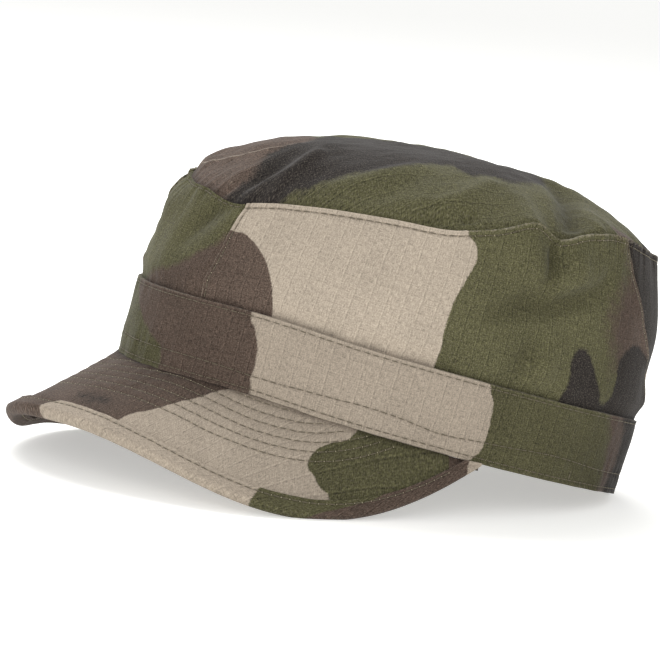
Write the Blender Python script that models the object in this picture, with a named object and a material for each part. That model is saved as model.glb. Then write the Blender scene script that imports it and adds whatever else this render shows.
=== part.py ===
"""A soft field cap: puffed crown of four wall panels and a top, turned-up band, and a bound peak.

The cap's own frame has the rim's mean plane at z = 0, the front at -Y, the wearer's left at +X and the
crown above. A turn is an angle round the cap in degrees, 0 at the front and 90 at the wearer's left.
A parent empty tips that frame forward until the peak and the rear of the rim both touch the floor.
All lengths are in metres.
"""

import math
from collections import namedtuple

import bmesh
import bpy
import numpy as np
from mathutils import Vector

# Rim and band
RIM_HALF_LENGTH = 0.1009
RIM_HALF_WIDTH = 0.0832
RIM_ROUNDNESS = 2.0
BAND_HEIGHT = 0.0288
BAND_FLARE = 0.0012
BAND_CLOTH = 0.0018

# Crown
TOP_HALF_LENGTH = 0.0926
TOP_HALF_WIDTH = 0.0816
TOP_ROUNDNESS = 1.87
TOP_SETBACK = -0.0016
FRONT_HEIGHT = 0.0663
SIDE_HEIGHT = 0.0840
REAR_HEIGHT = 0.0941
CROWN_CLOTH = 0.0012
FRONT_BULGE = 0.0012
REAR_BULGE = 0.0034
PUFF_RISE = 0.0080
DOME_HEIGHT = 0.0236
FRONT_DOME_POWER = 5.0
REAR_DOME_POWER = 1.6
SEAM_WAVE_POWER = 6

# Seams between the wall panels, as turns
FRONT_SEAM_FOOT = 22.0
FRONT_SEAM_TOP = 24.0
REAR_SEAM_FOOT = 158.0
REAR_SEAM_TOP = 124.5
REAR_SEAM_POWER = 1.3

# Peak
PEAK_TURN = 94.5
PEAK_WIDTH = 0.0457
PEAK_CLOTH = 0.0026
BINDING_WIDTH = 0.0055
BINDING_CLOTH = 0.0009
BINDING_NOSE = 0.0012
BINDING_END_WIDTH = 0.0019

# Fit
GAP = 0.0003
FLATTENED = 0.0006
STEEPEST_PITCH = 40.0
PITCH_HALVINGS = 40
WELD = 0.00001
SHARP_ANGLE = 40.0

# Steps for slopes of the surfaces, as a turn in degrees and as shares
TURN_STEP = 0.5
SURFACE_STEP = 0.001
STATION_STEP = 0.004

# Waves of the rim, the same on both sides: a rise in metres round a turn
RimWave = namedtuple("RimWave", "turn spread rise")
RIM_WAVES = [
    RimWave(0, 19, -0.0006),
    RimWave(42, 17, 0.0012),
    RimWave(180, 24, -0.0026),
]

# Rises and dips of the top seam, where the cloth is puffed or pinched
SeamWave = namedtuple("SeamWave", "turn spread rise")
SEAM_WAVES = [
    SeamWave(-26, 9, 0.0030),
    SeamWave(13, 9, -0.0018),
    SeamWave(101, 5, -0.0024),
    SeamWave(160, 22, -0.0042),
    SeamWave(-104, 7, -0.0016),
]

# Folds of the top, ridges above zero and valleys below, between two places given as shares of the top's
# half width (to the wearer's left) and half length (to the front)
TopFold = namedtuple("TopFold", "name side_from ahead_from side_to ahead_to width rise")
TOP_FOLDS = [
    TopFold("far front ridge", -0.34, 0.90, 0.02, 0.66, 0.0045, 0.0018),
    TopFold("far front valley", -0.10, 0.95, 0.10, 0.66, 0.0060, -0.0012),
    TopFold("near front ridge", 0.44, 0.86, 0.08, 0.56, 0.0050, 0.0026),
    TopFold("near front valley", 0.26, 0.92, 0.16, 0.70, 0.0060, -0.0016),
    TopFold("near side ridge", 0.62, 0.74, 0.46, 0.22, 0.0065, 0.0026),
    TopFold("near low ridge", 0.80, 0.52, 0.85, 0.12, 0.0045, 0.0014),
    TopFold("near rear valley", 0.93, -0.14, 0.48, -0.24, 0.0070, -0.0030),
    TopFold("rear ridge", 0.50, -0.72, 0.20, -0.30, 0.0080, 0.0016),
    TopFold("far side ridge", -0.72, 0.52, -0.50, 0.06, 0.0070, 0.0022),
    TopFold("far rear valley", -0.90, -0.20, -0.46, -0.30, 0.0070, -0.0024),
]

# Folds of the wall, between two places given as a turn and a share of the way from band to top seam
WallFold = namedtuple("WallFold", "name turn_from rise_from turn_to rise_to width rise")
WALL_FOLDS = [
    WallFold("front pinch", 15, 0.92, 7, 0.55, 0.0060, -0.0018),
    WallFold("front swell", -10, 0.80, -14, 0.35, 0.0110, 0.0014),
    WallFold("side hollow", 84, 0.52, 116, 0.72, 0.0085, -0.0016),
    WallFold("side low crease", 100, 0.36, 92, 0.12, 0.0070, -0.0012),
    WallFold("side dimple", 101, 0.95, 103, 0.76, 0.0055, -0.0018),
    WallFold("rear crease", 150, 0.30, 200, 0.42, 0.0090, -0.0018),
    WallFold("far side hollow", -80, 0.60, -112, 0.50, 0.0085, -0.0016),
]

# The peak from its centre to its end, the same on both sides. Turn is a share of the peak's last turn,
# width one of its width across the cloth, and slope an angle below level in degrees.
PeakStation = namedtuple("PeakStation", "name turn width slope")
PEAK_STATIONS = [
    PeakStation("centre", 0.00, 0.895, 37.0),
    PeakStation("brow", 0.17, 0.860, 39.5),
    PeakStation("quarter", 0.34, 0.900, 46.0),
    PeakStation("cheek", 0.55, 1.000, 49.0),
    PeakStation("temple", 0.79, 0.624, 60.5),
    PeakStation("end", 1.00, 0.100, 70.0),
]

# Where the worn peak is bent out of that form, towards the wearer's right
PeakBend = namedtuple("PeakBend", "turn spread rise")
PEAK_NOSE = PeakBend(-23, 21.5, 0.0100)
PEAK_DROOP = PeakBend(-23, 14.5, 6.0)

# Facets
FRONT_COLUMNS = 10
SIDE_COLUMNS = 26
BACK_COLUMNS = 14
CROWN_ROWS = 10
ROWS_IN_BAND = 2
BAND_COLUMNS = 78
BAND_ROWS = 2
TOP_COLUMNS = FRONT_COLUMNS + 2 * SIDE_COLUMNS + BACK_COLUMNS
TOP_ROWS = 11
PEAK_COLUMNS = 44
PEAK_ROWS = 7
NOSE_FACETS = 6

# Where folds fade out near a seam, as shares
WALL_FOLD_FADE = 0.10
TOP_FOLD_FADE = 0.10

# Colours of the cloth, as linear red, green and blue
OLIVE = (0.085, 0.088, 0.048)
TAN = (0.38, 0.32, 0.25)
BROWN = (0.080, 0.061, 0.048)
CHARCOAL = (0.050, 0.042, 0.045)
CLOTH_ROUGHNESS = 0.92


def oval(turn, half_length, half_width, roundness, centre_y=0.0):
    """Point of a rounded oval at a turn, as x and y."""
    angle = math.radians(turn)
    power = 2.0 / roundness
    x = math.copysign(half_width * abs(math.sin(angle)) ** power, math.sin(angle))
    y = math.copysign(half_length * abs(math.cos(angle)) ** power, math.cos(angle))
    return Vector((x, centre_y - y, 0.0))


def outward(point, half_length, half_width):
    """Level direction away from the cap's axis, square to an oval of these sizes."""
    return Vector((point.x / half_width**2, point.y / half_length**2, 0.0)).normalized()


def bump(distance, width):
    """Smooth swell that is 1 at no distance and falls off over the width."""
    return math.exp(-((distance / width) ** 2))


def fade(share, width):
    """0 at both ends of a share from 0 to 1, and 1 at more than the width from them."""
    near = max(0.0, min(share, 1.0 - share) / width)
    return smooth(near)


def smooth(share):
    """Ease from 0 to 1, held outside that range."""
    share = min(max(share, 0.0), 1.0)
    return share * share * (3.0 - 2.0 * share)


def turn_between(turn, other):
    """Signed difference of two turns, from -180 to 180."""
    return (turn - other + 180.0) % 360.0 - 180.0


def rim_height(turn):
    """Height of the rim's lower edge, which waves a little about its mean plane."""
    away = abs(turn_between(turn, 0.0))
    return sum(wave.rise * bump(away - wave.turn, wave.spread) for wave in RIM_WAVES)


def seam_wave(turn):
    """How far the top seam rises or dips at a turn from its smooth line."""
    return sum(w.rise * bump(turn_between(turn, w.turn), w.spread) for w in SEAM_WAVES)


def level_height(turn, reach=1.0):
    """Height of the smooth sheet spanned by the top seam, at a share of the way out from its centre."""
    ends = (FRONT_HEIGHT + REAR_HEIGHT) / 2.0
    mean = (ends + SIDE_HEIGHT) / 2.0
    tilt = (FRONT_HEIGHT - REAR_HEIGHT) / 2.0
    saddle = (ends - SIDE_HEIGHT) / 2.0
    angle = math.radians(turn)
    return mean + tilt * reach * math.cos(angle) + saddle * reach**2 * math.cos(2.0 * angle)


def seam_point(turn):
    """Point of the top seam."""
    point = oval(turn, TOP_HALF_LENGTH, TOP_HALF_WIDTH, TOP_ROUNDNESS, TOP_SETBACK)
    point.z = level_height(turn) + seam_wave(turn)
    return point


def rim_point(turn):
    """Point of the band's outer lower edge."""
    point = oval(turn, RIM_HALF_LENGTH, RIM_HALF_WIDTH, RIM_ROUNDNESS)
    point.z = rim_height(turn)
    return point


def rim_outward(turn):
    """Level direction out of the rim."""
    return outward(rim_point(turn), RIM_HALF_LENGTH, RIM_HALF_WIDTH)


def band_point(turn, share):
    """Point of the band's outer skin, at a share of its height."""
    flare = rim_outward(turn) * BAND_FLARE * share
    return rim_point(turn) + flare + Vector((0.0, 0.0, BAND_HEIGHT * share))


def fold_height(folds_at, here):
    """Sum of the folds at a place, each with its two ends, width and rise."""
    total = 0.0
    for start, end, width, rise in folds_at:
        run = end - start
        along = min(max((here - start).dot(run) / run.length_squared, 0.0), 1.0)
        away = (here - start - run * along).length
        total += rise * bump(away, width)
    return total


def wall_place(turn, share):
    """Flat place of a wall point in metres, for distances from folds."""
    round_length = math.radians(turn) * (RIM_HALF_LENGTH + RIM_HALF_WIDTH) / 2.0
    return Vector((round_length, share * (SIDE_HEIGHT - BAND_HEIGHT)))


def wall_folds(turn, share):
    """How far the wall stands out of its smooth form."""
    nearest = []
    for fold in WALL_FOLDS:
        middle = (fold.turn_from + fold.turn_to) / 2.0
        shift = turn - middle - turn_between(turn, middle)
        start = wall_place(fold.turn_from + shift, fold.rise_from)
        end = wall_place(fold.turn_to + shift, fold.rise_to)
        nearest.append((start, end, fold.width, fold.rise))
    return fold_height(nearest, wall_place(turn, share)) * fade(share, WALL_FOLD_FADE)


def wall_point(turn, share):
    """Point of the crown wall's outer skin above the band, at a share of the way to the top seam."""
    foot = band_point(turn, 1.0)
    point = foot.lerp(seam_point(turn), share)
    away = outward(point, RIM_HALF_LENGTH, RIM_HALF_WIDTH)
    rearward = (1.0 - math.cos(math.radians(turn))) / 2.0
    bulge = FRONT_BULGE + (REAR_BULGE - FRONT_BULGE) * rearward
    tucked = (BAND_CLOTH + GAP) * (1.0 - smooth((point.z - foot.z) / PUFF_RISE))
    return point + away * (bulge * math.sin(math.pi * share) + wall_folds(turn, share) - tucked)


def crown_point(turn, share):
    """Point of the crown panels' outer skin, from behind the band's foot, below 0, to the top seam at 1."""
    if share >= 0.0:
        return wall_point(turn, share)
    hidden = band_point(turn, 1.0 + share)
    return hidden - rim_outward(turn) * (BAND_CLOTH + GAP)


def top_point(turn, reach):
    """Point of the top's outer skin, at a share of the way out from its centre."""
    edge = seam_point(turn)
    flat = Vector((edge.x * reach, TOP_SETBACK + (edge.y - TOP_SETBACK) * reach, 0.0))
    forward = (1.0 + math.cos(math.radians(turn))) / 2.0
    power = REAR_DOME_POWER + (FRONT_DOME_POWER - REAR_DOME_POWER) * forward
    dome = DOME_HEIGHT * (1.0 - reach**power)
    here = Vector((flat.x, -flat.y))
    folds = [
        (
            Vector((fold.side_from * TOP_HALF_WIDTH, fold.ahead_from * TOP_HALF_LENGTH)),
            Vector((fold.side_to * TOP_HALF_WIDTH, fold.ahead_to * TOP_HALF_LENGTH)),
            fold.width,
            fold.rise,
        )
        for fold in TOP_FOLDS
    ]
    folded = fold_height(folds, here) * smooth((1.0 - reach) / TOP_FOLD_FADE)
    flat.z = level_height(turn, reach) + dome + seam_wave(turn) * reach**SEAM_WAVE_POWER + folded
    return flat


def normal_of(surface, u, v):
    """Unit normal of a surface, by small steps along its two parameters."""
    across = surface(u + SURFACE_STEP, v) - surface(u - SURFACE_STEP, v)
    along = surface(u, min(v + SURFACE_STEP, 1.0)) - surface(u, v - SURFACE_STEP)
    return across.cross(along).normalized()


def wall_top_share(turn):
    """Share at which the wall ends, just under the top panel's turned edge."""
    sunk = CROWN_CLOTH * abs(normal_of(top_point, turn, 1.0 - WELD).z) + GAP
    return 1.0 - sunk / (seam_point(turn).z - band_point(turn, 1.0).z)


def front_seam(share):
    """Turn of the front seam at a share of the wall's height."""
    return FRONT_SEAM_FOOT + (FRONT_SEAM_TOP - FRONT_SEAM_FOOT) * max(share, 0.0)


def rear_seam(share):
    """Turn of the rear seam at a share of the wall's height."""
    lean = (REAR_SEAM_FOOT - REAR_SEAM_TOP) * (1.0 - max(share, 0.0)) ** REAR_SEAM_POWER
    return REAR_SEAM_TOP + lean


def top_turn(share):
    """Turn of a column of the top, so that its columns end where the wall's do."""
    column = share * TOP_COLUMNS
    back, side, front = BACK_COLUMNS / 2, SIDE_COLUMNS, FRONT_COLUMNS
    ends = np.cumsum([0, back, side, front, side, back])
    turns = [-180.0, -REAR_SEAM_TOP, -FRONT_SEAM_TOP, FRONT_SEAM_TOP, REAR_SEAM_TOP, 180.0]
    return float(np.interp(column, ends, turns))


def half_gap_turn(turn, share):
    """Turn that half the gap between two panels takes up at a place of the wall."""
    reached = (crown_point(turn + TURN_STEP, share) - crown_point(turn - TURN_STEP, share)).length
    return GAP * TURN_STEP / reached


def panel_skin(first_seam, last_seam):
    """Skin of one wall panel between two seams, each a function from share to turn."""
    foot = GAP / BAND_HEIGHT - 1.0
    in_band = ROWS_IN_BAND / CROWN_ROWS

    def skin(u, v):
        if v < in_band:
            share = foot * (1.0 - v / in_band)
        else:
            share = (v - in_band) / (1.0 - in_band)
        first, last = first_seam(share), last_seam(share)
        first += half_gap_turn(first, share)
        last -= half_gap_turn(last, share)
        turn = first + (last - first) * u
        return crown_point(turn, share * wall_top_share(turn) if share > 0.0 else share)

    return skin


def spline(knots, values, at):
    """Natural cubic curve through values at knots, read at one place."""
    count = len(knots)
    gaps = np.diff(knots)
    matrix = np.eye(count)
    right = np.zeros_like(values)
    for i in range(1, count - 1):
        matrix[i, i - 1 : i + 2] = gaps[i - 1], 2 * (gaps[i - 1] + gaps[i]), gaps[i]
        slopes = (values[i + 1] - values[i]) / gaps[i] - (values[i] - values[i - 1]) / gaps[i - 1]
        right[i] = 6 * slopes
    bend = np.linalg.solve(matrix, right)
    i = int(np.clip(np.searchsorted(knots, at) - 1, 0, count - 2))
    gap, before, after = gaps[i], knots[i + 1] - at, at - knots[i]
    curve = (bend[i] * before**3 + bend[i + 1] * after**3) / (6 * gap)
    line_from = (values[i] / gap - bend[i] * gap / 6) * before
    line_to = (values[i + 1] / gap - bend[i + 1] * gap / 6) * after
    return curve + line_from + line_to


def peak_profile():
    """Turns of the peak's stations from one end to the other, with width and slope at each."""
    left = [(st.turn * PEAK_TURN, st.width * PEAK_WIDTH, st.slope) for st in PEAK_STATIONS]
    right = [(-turn, width, slope) for turn, width, slope in left[:0:-1]]
    table = np.array(right + left)
    return table[:, 0], table[:, 1:]


PEAK_TURNS, PEAK_PROFILE = peak_profile()


def peak_ruling(station):
    """The straight line down the peak at a station, as its width and its slope below level."""
    turn = PEAK_TURN * station
    width, slope = spline(PEAK_TURNS, PEAK_PROFILE, turn)
    width += PEAK_NOSE.rise * bump(turn - PEAK_NOSE.turn, PEAK_NOSE.spread)
    slope += PEAK_DROOP.rise * bump(turn - PEAK_DROOP.turn, PEAK_DROOP.spread)
    return width, math.radians(slope)


def peak_root(station):
    """Point in the middle of the peak's cloth where it meets the band's foot."""
    turn = PEAK_TURN * station
    slope = peak_ruling(station)[1]
    root = rim_point(turn) - rim_outward(turn) * BAND_CLOTH / 2.0
    root.z -= GAP + PEAK_CLOTH / 2.0 * math.cos(slope)
    return root


def peak_edge(station):
    """Point of the peak's outer edge, at a station from -1 at the right end to 1 at the left."""
    width, slope = peak_ruling(station)
    out = rim_outward(PEAK_TURN * station) * math.cos(slope)
    return peak_root(station) + (out - Vector((0.0, 0.0, math.sin(slope)))) * width


def peak_middle(station, share):
    """Point in the middle of the peak's cloth, at a share of the way from root to outer edge."""
    return peak_root(station).lerp(peak_edge(station), share)


def peak_normal(station):
    """Upward and outward normal of the peak, halfway across it."""
    around = peak_middle(station + STATION_STEP, 0.5) - peak_middle(station - STATION_STEP, 0.5)
    inward = peak_root(station) - peak_edge(station)
    return around.cross(inward).normalized()


def board_skin(u, v):
    """Upper skin of the peak's covered board, from inside its binding back to the band."""
    station = 2.0 * u - 1.0
    length = (peak_edge(station) - peak_root(station)).length
    share = (1.0 - v) * (1.0 - (BINDING_CLOTH + GAP) / length)
    return peak_middle(station, share) + peak_normal(station) * PEAK_CLOTH / 2.0


def binding_section(width):
    """Section of the binding, as pairs of depth in from the edge and height off the middle of the peak."""
    inner = PEAK_CLOTH / 2.0 + GAP
    outer = inner + BINDING_CLOTH
    section = [(width, outer)]
    for i in range(NOSE_FACETS + 1):
        angle = math.pi * i / NOSE_FACETS
        section.append((BINDING_NOSE * (1.0 - math.sin(angle)), outer * math.cos(angle)))
    section.append((width, -outer))
    section += [(width, -inner), (BINDING_CLOTH, -inner), (BINDING_CLOTH, inner), (width, inner)]
    return section


def clear_scene():
    """Removes every object of the scene."""
    for obj in list(bpy.data.objects):
        bpy.data.objects.remove(obj)


def finish_of(name, colour):
    """Principled material for one piece of cloth."""
    material = bpy.data.materials.new(name)
    material.use_nodes = True
    shader = material.node_tree.nodes["Principled BSDF"]
    shader.inputs["Base Color"].default_value = (*colour, 1.0)
    shader.inputs["Roughness"].default_value = CLOTH_ROUGHNESS
    shader.inputs["Metallic"].default_value = 0.0
    return material


def place_mesh(name, bm, colour):
    """Turns a closed shape into a smooth-shaded object with its own material."""
    bmesh.ops.recalc_face_normals(bm, faces=bm.faces[:])
    mesh = bpy.data.meshes.new(name)
    bm.to_mesh(mesh)
    bm.free()
    mesh.shade_smooth()
    mesh.set_sharp_from_angle(angle=math.radians(SHARP_ANGLE))
    mesh.materials.append(finish_of(name + "_cloth", colour))
    obj = bpy.data.objects.new(name, mesh)
    bpy.context.scene.collection.objects.link(obj)
    return obj


def cloth_piece(name, skin, columns, rows, cloth, colour):
    """One closed layer of cloth under an outer skin, a function of two shares."""
    bm = bmesh.new()
    bmesh.ops.create_grid(bm, x_segments=columns, y_segments=rows, size=0.5)
    for vert in bm.verts:
        vert.co = skin(vert.co.x + 0.5, vert.co.y + 0.5)
    bmesh.ops.remove_doubles(bm, verts=bm.verts[:], dist=WELD)
    bm.normal_update()
    bmesh.ops.solidify(bm, geom=bm.faces[:], thickness=cloth)
    return place_mesh(name, bm, colour)


def opposite(seam):
    """The same seam on the wearer's right."""

    def turn_at(share):
        return -seam(share)

    return turn_at


def round_the_back(seam):
    """The same seam on the wearer's right, reached round the back."""

    def turn_at(share):
        return 360.0 - seam(share)

    return turn_at


def build_panel(name, first_seam, last_seam, columns, colour):
    """One wall of the crown, between two seams."""
    return cloth_piece(name, panel_skin(first_seam, last_seam), columns, CROWN_ROWS, CROWN_CLOTH, colour)


def build_panels():
    """The four walls of the crown."""
    front_right, rear_right = opposite(front_seam), opposite(rear_seam)
    return [
        build_panel("front_panel", front_right, front_seam, FRONT_COLUMNS, OLIVE),
        build_panel("side_panel_left", front_seam, rear_seam, SIDE_COLUMNS, TAN),
        build_panel("side_panel_right", rear_right, front_right, SIDE_COLUMNS, OLIVE),
        build_panel("back_panel", rear_seam, round_the_back(rear_seam), BACK_COLUMNS, CHARCOAL),
    ]


def top_skin(u, v):
    """Outer skin of the top, from its edge in to its centre."""
    return top_point(top_turn(u), 1.0 - v)


def build_top():
    """The puffed top panel."""
    return cloth_piece("crown_top", top_skin, TOP_COLUMNS, TOP_ROWS, CROWN_CLOTH, OLIVE)


def band_skin(u, v):
    """Outer skin of the band, once round the cap."""
    return band_point(360.0 * u, v)


def build_band():
    """The band, one closed ring."""
    return cloth_piece("band", band_skin, BAND_COLUMNS, BAND_ROWS, BAND_CLOTH, BROWN)


def build_peak():
    """The peak's board with its cloth."""
    return cloth_piece("peak", board_skin, PEAK_COLUMNS, PEAK_ROWS, PEAK_CLOTH, TAN)


def build_binding():
    """The strip folded round the peak's outer edge, swept along it as a channel section."""
    bm = bmesh.new()
    rings = []
    for column in range(PEAK_COLUMNS + 1):
        station = 2.0 * column / PEAK_COLUMNS - 1.0
        edge, root = peak_edge(station), peak_root(station)
        inward, normal = (root - edge).normalized(), peak_normal(station)
        room = (root - edge).length - PEAK_CLOTH
        width = min(BINDING_WIDTH, max(room, BINDING_END_WIDTH))
        ring = [edge + inward * depth + normal * height for depth, height in binding_section(width)]
        rings.append([bm.verts.new(point) for point in ring])
    for ring, following in zip(rings, rings[1:]):
        for i in range(len(ring)):
            j = (i + 1) % len(ring)
            bm.faces.new((ring[i], ring[j], following[j], following[i]))
    for ring in (rings[0], rings[-1]):
        bm.faces.new(ring)
    return place_mesh("peak_binding", bm, BROWN)


def points_of(objects):
    """All mesh points of the objects, in the cap's own frame."""
    return np.array([vert.co[:] for obj in objects for vert in obj.data.vertices])


def upward(pitch):
    """The floor's upward direction in the cap's own frame, for a pitch of the front above the rear."""
    return np.array([0.0, -math.sin(pitch), math.cos(pitch)])


def rest_pitch(front, rear):
    """Pitch at which the lowest points of the front and the rear pieces are level."""
    low, high = 0.0, math.radians(STEEPEST_PITCH)
    for _ in range(PITCH_HALVINGS):
        middle = (low + high) / 2.0
        if (front @ upward(middle)).min() < (rear @ upward(middle)).min():
            low = middle
        else:
            high = middle
    return (low + high) / 2.0


def set_down(objects, front, rear):
    """Rests the cap on the floor, a little flattened where it touches, with its box centred on the origin."""
    pitch = rest_pitch(points_of(front), points_of(rear))
    up = upward(pitch)
    everything = points_of(objects)
    floor = (everything @ up).min() + FLATTENED
    for obj in objects:
        for vert in obj.data.vertices:
            sunk = floor - vert.co.dot(Vector(up))
            if sunk > 0.0:
                vert.co += Vector(up) * sunk
    everything = points_of(objects)
    ahead = np.array([0.0, math.cos(pitch), math.sin(pitch)])
    rest = bpy.data.objects.new("cap_at_rest", None)
    bpy.context.scene.collection.objects.link(rest)
    rest.rotation_euler.x = -pitch
    across, along = everything[:, 0], everything @ ahead
    rest.location.x = -(across.min() + across.max()) / 2.0
    rest.location.y = -(along.min() + along.max()) / 2.0
    rest.location.z = -floor
    for obj in objects:
        obj.parent = rest


def main():
    """Builds every piece and rests the cap on the floor."""
    clear_scene()
    panels = build_panels()
    top = build_top()
    band = build_band()
    peak = build_peak()
    binding = build_binding()
    set_down([*panels, top, band, peak, binding], [peak, binding], [band])


main()
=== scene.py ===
"""A soft field cap in four-colour ripstop cotton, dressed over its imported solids.

The cap's own frame has the rim's mean plane at z = 0, the front at -Y, the wearer's left at +X and the
crown above. A turn is an angle round the cap in degrees, 0 at the front and 90 at the wearer's left. Every
piece is worked out in that frame and then put down on the floor, as its solid is. Lengths are in metres,
and those of the printed pattern in millimetres of flat cloth.
"""

from __future__ import annotations

import logging
import math
from collections.abc import Callable, Sequence
from dataclasses import dataclass
from enum import Enum
from functools import partial

import bmesh
import bpy
import numpy as np
from mathutils import Matrix, Vector


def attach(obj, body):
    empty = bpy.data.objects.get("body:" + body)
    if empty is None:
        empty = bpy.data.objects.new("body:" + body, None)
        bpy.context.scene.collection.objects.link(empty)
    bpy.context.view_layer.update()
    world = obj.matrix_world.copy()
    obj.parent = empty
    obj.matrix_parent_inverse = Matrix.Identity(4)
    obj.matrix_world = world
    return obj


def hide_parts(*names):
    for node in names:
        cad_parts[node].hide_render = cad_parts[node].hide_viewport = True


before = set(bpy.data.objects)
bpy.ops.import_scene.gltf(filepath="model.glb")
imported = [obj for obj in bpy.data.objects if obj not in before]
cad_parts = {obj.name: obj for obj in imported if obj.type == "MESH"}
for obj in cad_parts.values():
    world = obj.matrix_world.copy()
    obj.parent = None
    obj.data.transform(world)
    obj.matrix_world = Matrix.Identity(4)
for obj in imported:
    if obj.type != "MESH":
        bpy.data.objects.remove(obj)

LOG = logging.getLogger("field_cap")
MM = 1000.0
Array = np.ndarray
ShareMap = Callable[[Array], Array]
Socket = bpy.types.NodeSocket
AddNode = Callable[..., Socket]


# Small shapes of functions


def smooth(share: Array) -> Array:
    """Ease from 0 to 1, held outside that range."""
    share = np.clip(share, 0.0, 1.0)
    return share * share * (3.0 - 2.0 * share)


def falling(distance: Array, start: float, length: float) -> Array:
    """Ease from 1 to 0 over a length, held outside it."""
    return 1.0 - smooth((distance - start) / length)


def bump(distance: Array, width: float) -> Array:
    """Smooth swell that is 1 at no distance and falls off over the width."""
    return np.exp(-((distance / width) ** 2))


def turn_between(turn: Array, other: float) -> Array:
    """Signed difference of two turns, from -180 to 180."""
    return (turn - other + 180.0) % 360.0 - 180.0


def unit(vectors: Array) -> Array:
    """The same directions with a length of 1."""
    return vectors / np.maximum(np.linalg.norm(vectors, axis=-1, keepdims=True), 1e-12)


def pairs(first: Array, second: Array) -> Array:
    """Flat places, as rows of two."""
    return np.stack([first, second], -1)


def pitched(points: Array, degrees: float) -> Array:
    """Points or directions with the front raised by an angle.

    Args:
        points: Points or directions, as rows.
        degrees: How far the front goes up.

    Returns:
        As many rows.
    """
    tilt = math.radians(degrees)
    x, y, z = points[..., 0], points[..., 1], points[..., 2]
    rear, up = y * math.cos(tilt) + z * math.sin(tilt), z * math.cos(tilt) - y * math.sin(tilt)
    return np.stack([x, rear, up], -1)


def spline(knots: Array, values: Array, at: Array) -> Array:
    """Natural cubic curve through values at knots.

    Args:
        knots: Places of the values, rising.
        values: One row for each knot.
        at: Places to read the curve at.

    Returns:
        One row of values for each place.
    """
    gaps = np.diff(knots)
    matrix = np.eye(len(knots))
    right = np.zeros_like(values)
    for i in range(1, len(knots) - 1):
        matrix[i, i - 1 : i + 2] = gaps[i - 1], 2 * (gaps[i - 1] + gaps[i]), gaps[i]
        right[i] = 6 * ((values[i + 1] - values[i]) / gaps[i] - (values[i] - values[i - 1]) / gaps[i - 1])
    bend = np.linalg.solve(matrix, right)
    i = np.clip(np.searchsorted(knots, at) - 1, 0, len(knots) - 2)
    gap = gaps[i][:, None]
    curve = 0.0
    for knot, away in ((i, (knots[i + 1] - at)[:, None]), (i + 1, (at - knots[i])[:, None])):
        curve = curve + bend[knot] * away**3 / (6 * gap) + (values[knot] / gap - bend[knot] * gap / 6) * away
    return curve


def ripple(places: Array, wavelength: float, seed: int, waves: int = 7) -> Array:
    """Irregular gentle waves over flat cloth, from -1 to 1 or so.

    Args:
        places: Flat places in metres, as rows of two.
        wavelength: Mean length of a wave in metres.
        seed: Picks the waves.
        waves: How many are added up.

    Returns:
        One height for each place.
    """
    chance = np.random.default_rng(seed)
    total = np.zeros(len(places))
    for _ in range(waves):
        angle, phase = chance.uniform(0.0, math.tau, 2)
        rate = math.tau / (wavelength * chance.uniform(0.6, 1.7))
        total += np.sin((places @ np.array([math.cos(angle), math.sin(angle)])) * rate + phase)
    return total / math.sqrt(waves)


def uneven(along: Array, wavelength: float, seed: int) -> Array:
    """Irregular waves along a seam, from -1 to 1 or so."""
    return ripple(pairs(along, np.zeros_like(along)), wavelength, seed, waves=5)


@dataclass(frozen=True)
class Wave:
    """A rise round a turn."""

    turn: float
    spread: float
    rise: float

    def at(self, turn: Array) -> Array:
        """The rise at these turns."""
        return self.rise * bump(turn_between(turn, self.turn), self.spread)


@dataclass(frozen=True)
class Stripe:
    """What is strongest on a line and falls off beside it: a stitched furrow, a lip, painted shade, a darker
    tone or wear.
    """

    strength: float
    width: float

    def at(self, distance: Array) -> Array:
        """The strength at distances from the line."""
        return self.strength * bump(distance, self.width)


@dataclass(frozen=True)
class Gathers:
    """Irregular small waves of cloth, all over a sheet or along a seam and fading away from it."""

    rise: float
    wavelength: float
    number: int
    fade: float = math.inf

    def over(self, places: Array, seed: int) -> Array:
        """Heights at flat places."""
        return self.rise * ripple(places, self.wavelength, seed + self.number)

    def beside(self, along: Array, away: Array, seed: int) -> Array:
        """Heights at distances along a seam and away from it."""
        return self.rise * uneven(along, self.wavelength, seed + self.number) * np.exp(-away / self.fade)


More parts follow.
